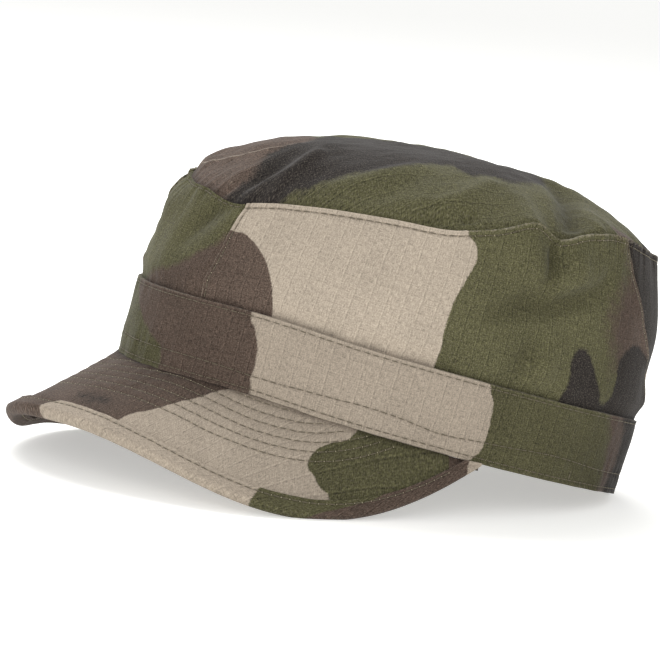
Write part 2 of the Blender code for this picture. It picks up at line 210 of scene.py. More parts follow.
@dataclass(frozen=True)
class Fold:
    """A ridge, or with a negative rise a valley, along a few places."""

    name: str
    path: tuple[tuple[float, float], ...]
    width: float
    rise: float
    crisp: bool = False
    rubbed: float = 0.0
    # Painted shade down in the fold, and on the rear of the left side a darker tone of the cloth
    painted_shade_and_tone: float = 0.0

    def nearest(self, here: Array, scale: tuple[float, float]) -> tuple[Array, Array]:
        """How far the fold is, and how strong it is at its nearest place.

        Args:
            here: Flat places in metres.
            scale: Metres that one unit of the fold's two coordinates takes up.

        Returns:
            Distances, below 0 to the right of the path, and strengths that taper to its ends.
        """
        path = np.array(self.path) * scale
        runs = np.diff(path, axis=0)
        lengths = np.linalg.norm(runs, axis=1)
        away, reached, side = np.full(len(here), np.inf), np.zeros(len(here)), np.ones(len(here))
        for start, run, length, before in zip(path, runs, lengths, np.cumsum(lengths) - lengths):
            from_start = here - start
            held = np.clip(from_start @ run / length**2, 0.0, 1.0)
            distance = np.linalg.norm(from_start - held[:, None] * run, axis=1)
            nearer = distance < away
            away = np.where(nearer, distance, away)
            reached = np.where(nearer, before + held * length, reached)
            side = np.where(nearer, np.sign(run[0] * from_start[:, 1] - run[1] * from_start[:, 0]), side)
        taper = 0.30 + 0.70 * np.sin(math.pi * (0.12 + 0.76 * reached / lengths.sum()))
        return away * side, taper

    def height(self, here: Array, scale: tuple[float, float]) -> Array:
        """How far the fold makes the cloth stand out.

        Args:
            here: Flat places in metres.
            scale: Metres that one unit of the fold's two coordinates takes up.

        Returns:
            One height for each place.
        """
        away, taper = self.nearest(here, scale)
        profile = np.exp(-np.sqrt(away**2 + 1e-7) / self.width) if self.crisp else bump(away, self.width)
        return self.rise * taper * profile

    def darkened(self, here: Array, scale: tuple[float, float]) -> Array:
        """How much darker the fold paints the cloth, at flat places in metres: painted shade, and on the
        rear of the left side a darker tone.
        """
        away, taper = self.nearest(here, scale)
        return self.painted_shade_and_tone * taper * bump(away, self.width)


# The cap's form, with the sizes of its solids


@dataclass(frozen=True)
class CapForm:
    """The cap's surfaces, as functions of turns and shares, in its own frame."""

    rim_half_length: float = 0.1009
    rim_half_width: float = 0.0832
    rim_roundness: float = 2.0
    band_height: float = 0.0288
    band_flare: float = 0.0012
    band_cloth: float = 0.0018
    top_half_length: float = 0.0926
    top_half_width: float = 0.0816
    top_roundness: float = 1.87
    top_setback: float = -0.0016
    front_height: float = 0.0663
    side_height: float = 0.0840
    rear_height: float = 0.0941
    crown_cloth: float = 0.0012
    front_bulge: float = 0.0012
    rear_bulge: float = 0.0034
    puff_rise: float = 0.0080
    dome_height: float = 0.0236
    front_dome_power: float = 5.0
    rear_dome_power: float = 1.6
    seam_wave_power: float = 6.0
    peak_turn: float = 94.5
    peak_width: float = 0.0457
    peak_cloth: float = 0.0026
    gap: float = 0.0003
    rest_pitch: float = 11.4957
    rest_shift: tuple[float, float, float] = (0.00007, 0.01464, 0.02206)
    rim_waves: tuple[Wave, ...] = (Wave(0, 19, -0.0006), Wave(42, 17, 0.0012), Wave(180, 24, -0.0026))
    seam_waves: tuple[Wave, ...] = (
        Wave(-27, 12, 0.0044),
        Wave(-9, 9, 0.0019),
        Wave(4, 7, 0.0015),
        Wave(19, 8, -0.0021),
        Wave(44, 12, 0.0008),
        Wave(72, 9, -0.0016),
        Wave(86, 8, 0.0008),
        Wave(94, 6, 0.0040),
        Wave(102, 4.5, -0.0022),
        Wave(119, 12, 0.0032),
        Wave(160, 22, -0.0042),
        Wave(-104, 7, -0.0016),
    )
    # Turn as a share of the peak's last turn, width as one of its width, and slope below level in degrees
    peak_stations: tuple[tuple[float, float, float], ...] = (
        (0.00, 0.895, 37.0),
        (0.17, 0.860, 39.5),
        (0.34, 0.900, 46.0),
        (0.55, 1.000, 49.0),
        (0.79, 0.624, 60.5),
        (1.00, 0.030, 70.0),
    )
    peak_nose: Wave = Wave(-23, 21.5, 0.0100)
    peak_droop: Wave = Wave(-23, 14.5, 6.0)

    @property
    def mean_radius(self) -> float:
        """Mean of the rim's two half sizes."""
        return (self.rim_half_length + self.rim_half_width) / 2.0

    def along(self, turn: Array) -> Array:
        """Metres of cloth round the cap from the front to a turn."""
        return np.radians(turn) * self.mean_radius

    def set_down(self, points: Array) -> Array:
        """Turns points of the cap's own frame into places on the floor."""
        return pitched(points, self.rest_pitch) + np.array(self.rest_shift)

    def oval(
        self, turn: Array, half_length: float, half_width: float, roundness: float, centre: float
    ) -> Array:
        """Points of a rounded oval, with no height.

        Args:
            turn: Turns round the cap.
            half_length: Half its size from front to back.
            half_width: Half its size from side to side.
            roundness: 2 for an ellipse, and less for one with flatter sides.
            centre: How far back its centre lies.

        Returns:
            One point for each turn.
        """
        angle = np.radians(turn)
        across, back = (
            half * np.sign(wave) * np.abs(wave) ** (2.0 / roundness)
            for half, wave in ((half_width, np.sin(angle)), (half_length, np.cos(angle)))
        )
        return np.stack([across, centre - back, np.zeros_like(across)], -1)

    def outward(self, points: Array) -> Array:
        """Level directions away from the cap's axis, square to the rim's oval."""
        return unit(points / np.array([self.rim_half_width**2, self.rim_half_length**2, math.inf]))

    def rim_height(self, turn: Array) -> Array:
        """Height of the rim's lower edge."""
        away = np.abs(turn_between(turn, 0.0))
        return sum(wave.at(away) for wave in self.rim_waves)

    def level_height(self, turn: Array, reach: Array | float = 1.0) -> Array:
        """Height of the smooth sheet spanned by the top seam.

        Args:
            turn: Turns round the cap.
            reach: Shares of the way out.

        Returns:
            Heights in the cap's own frame.
        """
        ends = (self.front_height + self.rear_height) / 2.0
        tilt = (self.front_height - self.rear_height) / 2.0
        mean, saddle = (ends + self.side_height) / 2.0, (ends - self.side_height) / 2.0
        angle = np.radians(turn)
        return mean + tilt * reach * np.cos(angle) + saddle * reach**2 * np.cos(2.0 * angle)

    def seam_wave(self, turn: Array) -> Array:
        """How far the top seam rises or dips from its smooth line."""
        return sum(wave.at(turn) for wave in self.seam_waves)

    def seam_point(self, turn: Array) -> Array:
        """Points of the top seam.

        Args:
            turn: Turns round the cap.

        Returns:
            One point for each turn.
        """
        points = self.oval(
            turn, self.top_half_length, self.top_half_width, self.top_roundness, self.top_setback
        )
        points[..., 2] = self.level_height(turn) + self.seam_wave(turn)
        return points

    def band_point(self, turn: Array, share: Array) -> Array:
        """Points of the band's smooth outer skin.

        Args:
            turn: Turns round the cap.
            share: Shares of the band's height.

        Returns:
            One point for each turn and share.
        """
        points = self.oval(turn, self.rim_half_length, self.rim_half_width, self.rim_roundness, 0.0)
        points = points + self.outward(points) * (self.band_flare * share)[:, None]
        points[..., 2] = self.rim_height(turn) + self.band_height * share
        return points

    def wall_height(self, turn: Array) -> Array:
        """Height of the crown's wall above the band."""
        return self.level_height(turn) + self.seam_wave(turn) - self.rim_height(turn) - self.band_height

    def wall_point(self, turn: Array, share: Array, proud: Array) -> Array:
        """Points of the crown's wall above the band.

        Args:
            turn: Turns round the cap.
            share: Shares of the way from the band to the top seam.
            proud: How far the cloth stands out of the smooth wall.

        Returns:
            One point for each turn and share.
        """
        foot = self.band_point(turn, np.ones_like(turn))
        points = foot + (self.seam_point(turn) - foot) * share[:, None]
        rearward = (1.0 - np.cos(np.radians(turn))) / 2.0
        bulge = self.front_bulge + (self.rear_bulge - self.front_bulge) * rearward
        tucked = (self.band_cloth + self.gap) * falling(points[:, 2], foot[:, 2], self.puff_rise)
        out = bulge * np.sin(math.pi * np.clip(share, 0.0, 1.0)) + proud - tucked
        return points + self.outward(points) * out[:, None]

    def hidden_point(self, turn: Array, share: Array) -> Array:
        """Points of the crown's wall behind the band, at shares of the band's height."""
        points = self.band_point(turn, share)
        return points - self.outward(points) * (self.band_cloth + self.gap)

    def top_height(self, turn: Array, reach: Array) -> Array:
        """Height of the puffed top.

        Args:
            turn: Turns round the cap.
            reach: Shares of the way out.

        Returns:
            Heights in the cap's own frame.
        """
        forward = (1.0 + np.cos(np.radians(turn))) / 2.0
        power = self.rear_dome_power + (self.front_dome_power - self.rear_dome_power) * forward
        dome = self.dome_height * (1.0 - reach**power)
        return self.level_height(turn, reach) + dome + self.seam_wave(turn) * reach**self.seam_wave_power

    def peak_ruling(self, station: Array) -> tuple[Array, Array]:
        """Width and slope of the straight lines down the peak.

        Args:
            station: Places along the peak, from -1 to 1.

        Returns:
            Widths, and slopes in radians.
        """
        left = np.array(self.peak_stations)
        table = np.concatenate([left[:0:-1] * np.array([-1.0, 1.0, 1.0]), left])
        values = table[:, 1:] * np.array([self.peak_width, 1.0])
        turn = station * self.peak_turn
        profile = spline(table[:, 0] * self.peak_turn, values, turn)
        return profile[:, 0] + self.peak_nose.at(turn), np.radians(profile[:, 1] + self.peak_droop.at(turn))

    def peak_foot(self, station: Array) -> tuple[Array, Array]:
        """Points of the band's foot over the peak's stations, and the level directions out from them."""
        points = self.band_point(station * self.peak_turn, np.zeros_like(station))
        return points, self.outward(points)

    def peak_down(self, station: Array) -> Array:
        """Unit directions from the peak's root to its outer edge."""
        slope, out = self.peak_ruling(station)[1], self.peak_foot(station)[1]
        return out * np.cos(slope)[:, None] - np.array([0.0, 0.0, 1.0]) * np.sin(slope)[:, None]

    def peak_point(self, station: Array, inward: Array) -> Array:
        """Points in the middle of the peak's cloth.

        Args:
            station: Places along the peak, from -1 to 1.
            inward: Distances in from the outer edge.

        Returns:
            One point for each station and distance.
        """
        width, slope = self.peak_ruling(station)
        root, out = self.peak_foot(station)
        root = root - out * (self.band_cloth / 2.0)
        root[:, 2] -= self.gap + self.peak_cloth / 2.0 * np.cos(slope)
        return root + self.peak_down(station) * (width - inward)[:, None]

    def peak_normal(self, station: Array, step: float = 0.004) -> Array:
        """Upward and outward normals of the peak, halfway across it.

        Args:
            station: Places along the peak, from -1 to 1.
            step: How far apart the stations are that give the slope.

        Returns:
            One normal for each station.
        """
        half = self.peak_ruling(station)[0] / 2.0
        around = self.peak_point(station + step, half) - self.peak_point(station - step, half)
        return unit(np.cross(around, -self.peak_down(station)))


# The printed pattern


class Print(Enum):
    """The colours printed over the tan ground, in the order in which they go on."""

    GREEN = "green_edge"
    BROWN = "brown_edge"
    CHARCOAL = "charcoal_edge"


@dataclass(frozen=True)
class Patch:
    """One blob of colour: a smooth closed outline through a few places of its panel.

    A soft patch has an edge that fades over more cloth than a crisp one.
    """

    colour: Print
    outline: tuple[tuple[float, float], ...]
    softness: float = 1.0

    def rounded(self, steps: int = 8) -> Array:
        """The outline as a fine smooth polygon.

        Args:
            steps: Corners of the polygon for each place of the outline.

        Returns:
            The corners in order.
        """
        points = np.array(self.outline, dtype=float)
        before, after, beyond = (np.roll(points, shift, axis=0) for shift in (1, -1, -2))
        t = np.linspace(0.0, 1.0, steps, endpoint=False)[:, None, None]
        curve = (
            2.0 * points
            + (after - before) * t
            + (2.0 * before - 5.0 * points + 4.0 * after - beyond) * t**2
            + (3.0 * points - before - 3.0 * after + beyond) * t**3
        ) / 2.0
        return curve.transpose(1, 0, 2).reshape(-1, 2)

    def distance(self, places: Array, scale: tuple[float, float]) -> Array:
        """Signed distance in millimetres to a crisp outline, below 0 inside it.

        Args:
            places: Flat places of the panel in millimetres.
            scale: Millimetres that one unit of the outline's two coordinates takes up.

        Returns:
            One distance for each place.
        """
        polygon = self.rounded() * np.array(scale)
        nearest = np.full(len(places), np.inf)
        inside = np.zeros(len(places), dtype=bool)
        for start, end in zip(polygon, np.roll(polygon, -1, axis=0)):
            run = end - start
            held = np.clip((places - start) @ run / max(run @ run, 1e-9), 0.0, 1.0)
            nearest = np.minimum(nearest, np.linalg.norm(places - start - held[:, None] * run, axis=1))
            if abs(run[1]) > 1e-9:
                passes = (start[1] > places[:, 1]) != (end[1] > places[:, 1])
                crossing = start[0] + (places[:, 1] - start[1]) / run[1] * run[0]
                inside ^= passes & (places[:, 0] < crossing)
        return np.where(inside, -nearest, nearest) / self.softness


@dataclass(frozen=True)
class Chart:
    """The printed pattern of one panel, with the millimetres that its two coordinates take up."""

    scale: tuple[float, float]
    patches: tuple[Patch, ...]
    far: float = 60.0

    def distances(self, places: Array) -> dict[Print, Array]:
        """Distance to the nearest edge of each colour.

        Args:
            places: Flat places of the panel in millimetres.

        Returns:
            One distance for each place, for each colour.
        """
        found = {colour: np.full(len(places), self.far) for colour in Print}
        for patch in self.patches:
            found[patch.colour] = np.minimum(found[patch.colour], patch.distance(places, self.scale))
        return found


# Turns and shares of the wall's or the band's height
WALL_SCALE = (1.607, 52.0)
BAND_SCALE = (1.607, 28.8)
# Shares of the top's half sizes
TOP_SCALE = (81.6, 92.6)
# Stations along the peak, and distances in from its outer edge as shares of 45 mm
PEAK_SCALE = (152.0, 45.0)
# Stations along the peak, and millimetres round the binding's fold from its upper edge
EDGE_SCALE = (152.0, 1.0)

GREEN, BROWN, CHARCOAL = Print
ALL_OVER = ((-400, -2), (400, -2), (400, 3), (-400, 3))

FRONT_CHART = Chart(WALL_SCALE, (
    Patch(GREEN, ALL_OVER),
    Patch(BROWN, (
        (30, 0.76), (22.5, 0.71), (21, 0.61), (18, 0.51), (13, 0.36), (10.5, 0.28), (4.5, 0.18),
        (-5, 0.09), (-12, -0.1), (-12, -0.7), (30, -0.8),
    ), 6),
    Patch(CHARCOAL, ((-38, 0.62), (-26, 0.7), (-19, 0.52), (-20, 0.24), (-26, 0.06), (-40, 0.12)), 2),
))

LEFT_CHART = Chart(WALL_SCALE, (
    Patch(GREEN, (
        (76, 1.2), (76.6, 1), (79.2, 0.9), (80, 0.79), (79, 0.66), (77.9, 0.5), (77.8, 0.3), (78.5, 0.05),
        (79, -0.4), (79, -0.8), (190, -0.8), (190, 1.4), (77, 1.4),
    )),
    Patch(BROWN, (
        (10, 0.75), (23.5, 0.71), (27, 0.69), (32.5, 0.56), (36, 0.43), (39, 0.26), (40.8, 0.08),
        (41.5, -0.2), (40, -0.8), (8, -0.8),
    )),
    Patch(BROWN, (
        (125, 1.2), (125.5, 0.94), (126, 0.8), (123.5, 0.68), (121, 0.56), (121.5, 0.44), (124, 0.34),
        (132, 0.26), (190, 0.1), (190, 1.3),
    ), 18),
    Patch(CHARCOAL, (
        (109, -0.2), (110.5, 0.12), (110, 0.26), (112, 0.34), (115.4, 0.31), (118.8, 0.21), (123, 0.07),
        (125.8, 0.05), (127, 0.18), (127, 0.34), (134, 0.44), (146, 0.38), (190, 0.3), (190, -0.8),
        (107, -0.8),
    ), 2.8),
))

BACK_CHART = Chart(WALL_SCALE, (
    Patch(GREEN, ((196, 1.3), (190, 0.86), (197, 0.62), (214, 0.5), (226, 0.1), (262, 0), (262, 1.4))),
    Patch(BROWN, ((110, 0.2), (134, 0.3), (150, 0.16), (164, 0.22), (172, -0.1), (170, -0.8), (100, -0.8))),
    Patch(CHARCOAL, (
        (98, 1.4), (98, 0.1), (136, 0.06), (150, 0.3), (160, 0.52), (176, 0.6), (184, 0.8), (182, 1.4),
    )),
    Patch(BROWN, (
        (190, 0.34), (202, 0.4), (214, 0.26), (216, -0.1), (206, -0.7), (186, -0.7), (182, 0.06),
    )),
))

RIGHT_CHART = Chart(WALL_SCALE, (
    Patch(GREEN, (
        (-10, 1.3), (-10, 0.42), (-30, 0.36), (-44, 0.44), (-50, 0.68), (-62, 0.78), (-74, 0.7),
        (-82, 0.84), (-82, 1.3),
    )),
    Patch(GREEN, (
        (-92, -0.8), (-94, 0.1), (-101, 0.3), (-99, 0.52), (-108, 0.7), (-122, 0.66), (-131, 0.84),
        (-150, 0.9), (-170, 0.6), (-170, -0.8),
    )),
    Patch(BROWN, (
        (-12, 0.4), (-28, 0.42), (-40, 0.32), (-47, 0.08), (-58, 0.02), (-62, -0.8), (-12, -0.8),
    )),
    Patch(BROWN, ((-97, 1.3), (-99, 0.94), (-108, 0.76), (-118, 0.8), (-126, 1.3)), 2.5),
    Patch(CHARCOAL, (
        (-58, 0.8), (-66, 0.88), (-76, 0.8), (-79, 0.62), (-74, 0.5), (-66, 0.56), (-59, 0.66),
    )),
    Patch(CHARCOAL, (
        (-106, 0.34), (-116, 0.42), (-124, 0.34), (-133, 0.12), (-130, -0.3), (-112, -0.6), (-104, 0),
    ), 1.8),
))

BAND_CHART = Chart(BAND_SCALE, (
    Patch(GREEN, (
        (2, 1.5), (2, 0.95), (4, 0.68), (10, 0.5), (16, 0.37), (20, 0.24), (22, 0.06), (22, -0.6),
        (-64, -0.6), (-60, 0.2), (-66, 0.6), (-58, 1.5),
    )),
    Patch(GREEN, (
        (91.2, 1.5), (91.6, 0.96), (93.2, 0.78), (94, 0.5), (94, 0.2), (93.6, -0.6), (172, -0.6),
        (166, 0.3), (172, 1.5),
    )),
    Patch(GREEN, (
        (-152, 1.5), (-146, 0.6), (-136, 0.4), (-122, 0.52), (-112, 0.1), (-112, -0.6), (-176, -0.6),
        (-180, 1.5),
    )),
    Patch(BROWN, (
        (-9.5, 1.5), (-9.2, 0.95), (-3.4, 0.68), (2, 0.5), (8, 0.37), (12.6, 0.24), (14, 0.06),
        (14.2, -0.3), (15, -0.9), (30, -0.9), (40, -0.9), (41.6, -0.4), (41.2, 0.02), (40.7, 0.19),
        (40.9, 0.36), (40.2, 0.6), (38.4, 0.8), (36.6, 0.94), (35, 1.5), (20, 1.7), (4, 1.7),
    ), 2.6),
    Patch(BROWN, (
        (24, 1.5), (24, -0.6), (34, -0.9), (41.6, -0.4), (41.2, 0.02), (40.7, 0.19), (40.9, 0.36),
        (40.2, 0.6), (38.4, 0.8), (36.6, 0.94), (35, 1.5),
    )),
    Patch(BROWN, (
        (127.5, 1.5), (129, 1), (132, 0.7), (133, 0.46), (134, 0.2), (136, -0.6), (176, -0.6), (178, 1.5),
    ), 8),
    Patch(BROWN, ((-70, 1.5), (-74, 0.5), (-86, 0.34), (-98, 0.5), (-104, 1.5))),
    Patch(CHARCOAL, (
        (134, 1.5), (137, 1), (141, 0.7), (141, 0.4), (139, 0.1), (140, -0.6), (168, -0.6), (172, 0.1),
        (180, 0.3), (194, 0.6), (194, 1.5),
    ), 8),
    Patch(CHARCOAL, ((-24, 1.5), (-27, 0.72), (-38, 0.52), (-47, 0.7), (-50, 1.5))),
    Patch(CHARCOAL, ((-120, -0.6), (-124, 0.12), (-134, 0.26), (-142, 0.06), (-144, -0.6))),
))

TOP_CHART = Chart(TOP_SCALE, (
    Patch(GREEN, ALL_OVER),
    Patch(BROWN, (
        (0.6, 1.2), (0.4, 0.95), (0.34, 0.8), (0.2, 0.66), (-0.1, 0.52), (-0.34, 0.58), (-0.62, 0.46),
        (-0.84, 0.5), (-1.3, 0.4), (-1.1, 1.2),
    ), 4),
    Patch(BROWN, (
        (-0.62, -0.44), (-0.4, -0.34), (-0.16, -0.42), (-0.02, -0.66), (-0.16, -0.86), (-0.44, -0.8),
        (-0.7, -0.7),
    )),
    Patch(BROWN, ((0.78, -0.49), (0.7, -0.5), (0.64, -0.58), (0.7, -0.66), (0.82, -0.66)), 3),
    Patch(CHARCOAL, (
        (0.26, 1.2), (0.22, 0.97), (0.19, 0.89), (0.13, 0.84), (0.06, 0.78), (0.03, 0.7), (-0.02, 0.62),
        (-0.12, 0.54), (-0.26, 0.4), (-0.3, 0.16), (-0.14, -0.02), (0.06, -0.1), (0.22, -0.3),
        (0.38, -0.31), (0.51, -0.2), (0.61, -0.08), (0.65, 0), (0.605, 0.03), (0.62, 0.12), (0.585, 0.155),
        (0.535, 0.176), (0.5, 0.2), (0.54, 0.33), (0.575, 0.42), (0.575, 0.5), (0.55, 0.61), (0.54, 0.7),
        (0.53, 0.78), (0.49, 0.84), (0.52, 1.2),
    ), 7),
    Patch(CHARCOAL, (
        (-1.2, 0.2), (-0.86, 0.16), (-0.66, -0.02), (-0.74, -0.22), (-0.96, -0.26), (-1.2, -0.2),
    )),
    Patch(CHARCOAL, ((0.2, -1.2), (0.24, -0.84), (0.4, -0.7), (0.58, -0.76), (0.76, -1))),
))

PEAK_CHART = Chart(PEAK_SCALE, (
    Patch(GREEN, (
        (0.74, 1.3), (0.7, 0.8), (0.655, 0.72), (0.63, 0.66), (0.62, 0.56), (0.622, 0.46), (0.64, 0.38),
        (0.655, 0.28), (0.68, 0.16), (0.7, -0.4), (1.2, -0.4), (1.2, 1.3),
    )),
    Patch(GREEN, (
        (-0.46, -0.4), (-0.47, 0.16), (-0.4, 0.34), (-0.42, 0.56), (-0.54, 0.66), (-0.66, 0.52),
        (-0.8, 0.6), (-1.2, 0.7), (-1.2, -0.4),
    )),
    Patch(BROWN, (
        (0.42, 1.6), (0.395, 1.02), (0.365, 0.88), (0.325, 0.71), (0.29, 0.57), (0.268, 0.46),
        (0.248, 0.37), (0.232, 0.29), (0.222, 0.18), (0.215, 0.06), (0.2, -0.4), (-0.56, -0.4),
        (-0.58, 0.2), (-0.5, 0.46), (-0.54, 0.74), (-0.52, 1.6),
    )),
    Patch(BROWN, ((0.93, 1.2), (0.925, 0.1), (0.94, -0.3), (1.2, -0.3), (1.2, 1.2))),
    Patch(CHARCOAL, (
        (0.08, 0.325), (0.095, 0.352), (0.135, 0.357), (0.15, 0.335), (0.13, 0.312), (0.095, 0.302),
    ), 14),
    Patch(CHARCOAL, ((-0.62, 0.3), (-0.7, 0.44), (-0.84, 0.34), (-0.86, 0), (-0.72, -0.2), (-0.6, 0.04))),
))

EDGE_CHART = Chart(EDGE_SCALE, (
    Patch(GREEN, (
        (0.552, -9), (0.55, 0), (0.547, 4), (0.545, 30), (0.7, 30), (0.72, 9), (0.82, 1), (0.84, -9),
    )),
    Patch(GREEN, ((-0.3, -9), (-0.31, 6), (-0.33, 30), (-0.56, 30), (-0.58, 6), (-0.56, -9))),
    Patch(BROWN, (
        (0.84, -9), (0.78, 0.2), (0.71, 4), (0.65, 9), (0.62, 14), (0.62, 30), (0.955, 30), (0.965, 4),
        (0.965, -9),
    )),
    Patch(BROWN, ((0.06, -9), (0.05, 3), (0.044, 8), (0.04, 30), (-0.48, 30), (-0.49, 8), (-0.48, -9))),
    Patch(BROWN, ((-0.8, -9), (-0.82, 8), (-0.8, 30), (-1.2, 30), (-1.2, -9))),
    Patch(CHARCOAL, ((-0.62, -9), (-0.63, 8), (-0.62, 30), (-0.76, 30), (-0.75, 8), (-0.76, -9))),
))


# Folds of the cloth, with turns and shares of the wall's height, or shares of the top's half sizes

# Folds with a darkening value paint shade down in the front pinch, the side hollow, the side crease and the
# seam dimple, and low and high on the front; on the rear of the left side the darkening is a darker tone of
# the cloth
WALL_FOLDS = (
    Fold("front pinch", ((15, 0.96), (11, 0.75), (7, 0.5)), 0.0055, -0.0026, painted_shade_and_tone=0.25),
    Fold("front swell", ((-10, 0.8), (-14, 0.35)), 0.011, 0.0014),
    Fold("front edge swell", ((20, 0.85), (17, 0.6)), 0.0045, 0.001),
    Fold("side hollow", (
        (88, 0.45), (94, 0.52), (100, 0.58), (107, 0.61), (113, 0.65), (118, 0.73),
    ), 0.004, -0.0032, painted_shade_and_tone=0.32),
    Fold("broad side hollow", ((88, 0.4), (104, 0.51), (116, 0.57)), 0.0095, -0.0018),
    Fold("swell over the hollow", ((93, 0.72), (104, 0.78), (113, 0.8)), 0.0062, 0.0026),
    Fold("swell under the hollow", ((94, 0.4), (106, 0.48)), 0.005, 0.0012),
    Fold("side crease", ((100, 0.32), (98, 0.2), (96, 0.08)), 0.004, -0.0024, painted_shade_and_tone=0.25),
    Fold("swell behind the crease", ((105, 0.28), (102, 0.12)), 0.0056, 0.0018),
    Fold("seam dimple", ((101, 1), (101, 0.9), (100.5, 0.8), (99.5, 0.7)), 0.0034, -0.0036, painted_shade_and_tone=0.4),
    Fold("swell by the dimple", ((107, 0.97), (108, 0.86), (109, 0.76)), 0.0042, 0.0016),
    Fold("swell before the dimple", ((94, 0.95), (94, 0.8)), 0.005, 0.0012),
    Fold("pucker under the seam", ((114, 0.98), (115, 0.86)), 0.003, -0.001),
    Fold("side ripple", ((70, 0.22), (82, 0.36)), 0.008, -0.0008),
    Fold("low side swell", ((60, 0.3), (74, 0.1)), 0.008, 0.0008),
    Fold("rear hollow", ((150, 0.3), (200, 0.42)), 0.009, -0.0022),
    Fold("rear swell", ((165, 0.62), (195, 0.7)), 0.008, 0.0016),
    Fold("rear crease", ((206, 0.8), (196, 0.5), (192, 0.2)), 0.005, -0.0016),
    Fold("right hollow", ((-80, 0.6), (-96, 0.56), (-112, 0.5)), 0.006, -0.0026),
    Fold("right crease", ((-60, 0.3), (-68, 0.62)), 0.005, -0.0016),
    Fold("right swell", ((-88, 0.8), (-104, 0.78), (-114, 0.72)), 0.006, 0.0018),
    Fold("right dimple", ((-104, 1), (-103, 0.84)), 0.0036, -0.0026),
    Fold("far front swell", ((-12, 0.76), (-26, 0.82), (-42, 0.84)), 0.0082, 0.0026),
    Fold("soil on the rear of the left side", ((127, 0.75), (128, 0.2)), 0.013, 0, painted_shade_and_tone=0.5),
    Fold("soil low on the front", ((2, 0.05), (14, 0.22), (18, 0.5)), 0.014, 0, painted_shade_and_tone=0.3),
    Fold("soil high on the front", ((-14, 0.8), (6, 0.86)), 0.014, 0, painted_shade_and_tone=0.14),
)

# Folds with a darkening value paint shade down in the left front valley and the left rear valley
TOP_FOLDS = (
    Fold("behind the crest", (
        (-0.3, 0.86), (-0.2, 0.85), (-0.12, 0.81), (-0.06, 0.74), (-0.04, 0.66),
    ), 0.005, -0.002),
    Fold("before the crest", ((-0.1, 0.95), (0.08, 0.84), (0.12, 0.7)), 0.007, -0.001),
    Fold("left front valley", (
        (0.25, 0.93), (0.235, 0.88), (0.235, 0.84), (0.22, 0.79), (0.19, 0.73),
    ), 0.0046, -0.0036, painted_shade_and_tone=0.1),
    Fold("left front ridge", ((0.42, 0.86), (0.36, 0.74), (0.22, 0.62), (0.08, 0.56)), 0.006, 0.002),
    Fold("left ridge", (
        (0.54, 0.78), (0.59, 0.69), (0.62, 0.6), (0.6, 0.46), (0.56, 0.34),
    ), 0.0045, 0.0022),
    Fold("left ridge hollow", ((0.66, 0.74), (0.71, 0.62), (0.72, 0.48), (0.66, 0.34)), 0.005, -0.0012),
    Fold("left edge ridge", (
        (0.81, 0.45), (0.845, 0.32), (0.82, 0.24), (0.75, 0.14), (0.7, 0.08),
    ), 0.004, 0.0022),
    Fold("left edge hollow", ((0.92, 0.4), (0.95, 0.22), (0.9, 0.1)), 0.0045, -0.0014),
    Fold("left rear valley", (
        (0.97, -0.23), (0.85, -0.26), (0.73, -0.285), (0.54, -0.33), (0.35, -0.365),
    ), 0.0056, -0.004, painted_shade_and_tone=0.55),
    Fold("left rear ridge", ((0.93, -0.02), (0.72, -0.1), (0.52, -0.16)), 0.007, -0.0008),
    Fold("left back ridge", ((0.9, -0.38), (0.7, -0.44)), 0.006, 0.0014),
    Fold("rear ridge", ((0.5, -0.72), (0.2, -0.3)), 0.008, 0.002),
    Fold("rear valley", ((0.1, -0.9), (-0.04, -0.5)), 0.007, -0.0018),
    Fold("right front ridge", ((-0.72, 0.52), (-0.5, 0.06)), 0.006, 0.0024),
    Fold("right valley", ((-0.93, -0.18), (-0.7, -0.24), (-0.46, -0.3)), 0.006, -0.003),
    Fold("right edge ridge", ((-0.84, 0.3), (-0.86, 0.05), (-0.74, -0.05)), 0.005, 0.0016),
)

TOP_CREASES = (
    Fold("front corner puff", ((-0.46, 0.82), (-0.33, 0.895), (-0.22, 0.93)), 0.008, 0.0032),
    Fold("crest line", (
        (-0.28, 0.945), (-0.19, 0.94), (-0.133, 0.91), (-0.063, 0.866), (0, 0.81), (0.036, 0.742),
        (0.04, 0.67),
    ), 0.003, 0.0016, crisp=True, rubbed=0.95),
    Fold("ridge line", (
        (0.32, 0.92), (0.335, 0.87), (0.36, 0.835), (0.375, 0.79), (0.34, 0.74), (0.3, 0.69),
    ), 0.0036, 0.0026),
    Fold("pinched corner", (
        (0.18, 0.975), (0.168, 0.955), (0.166, 0.93),
    ), 0.0013, 0.0012, crisp=True, rubbed=0.5),
    Fold("pinched corner's hollow", ((0.2, 0.972), (0.19, 0.93)), 0.0014, -0.0009),
    Fold("small ridge", ((0.425, 0.865), (0.4, 0.835)), 0.0018, 0.0008, crisp=True),
    Fold("fan crease 1", ((0.885, 0.41), (0.885, 0.32)), 0.0012, -0.0019),
    Fold("fan crease 2", ((0.87, 0.37), (0.905, 0.29)), 0.0012, -0.0017),
    Fold("fan crease 3", ((0.915, 0.28), (0.893, 0.19)), 0.0012, -0.0019),
    Fold("fan crease 4", ((0.87, 0.25), (0.915, 0.19)), 0.0012, -0.0017),
    Fold("fan crease 5", ((0.93, 0.33), (0.9, 0.24)), 0.0012, 0.0007),
    Fold("valley crease", ((0.94, -0.15), (0.8, -0.18)), 0.0016, 0.0008),
    Fold("rear crease", ((0.3, -0.86), (0.22, -0.58)), 0.002, 0.0008),
    Fold("right crease", ((-0.62, 0.7), (-0.44, 0.46)), 0.0026, 0.0016, crisp=True, rubbed=0.4),
    Fold("right fan crease", ((-0.86, 0.2), (-0.66, 0.12)), 0.0018, 0.0008),
)

METRES_PER_DEGREE = 0.0015
# Turns of the left seams at the top or the foot, and by how much each leans over the wall's height
FRONT_SEAM, FRONT_LEAN = 22.0, 2.0
REAR_SEAM, REAR_LEAN, REAR_POWER = 124.5, 33.5, 1.3


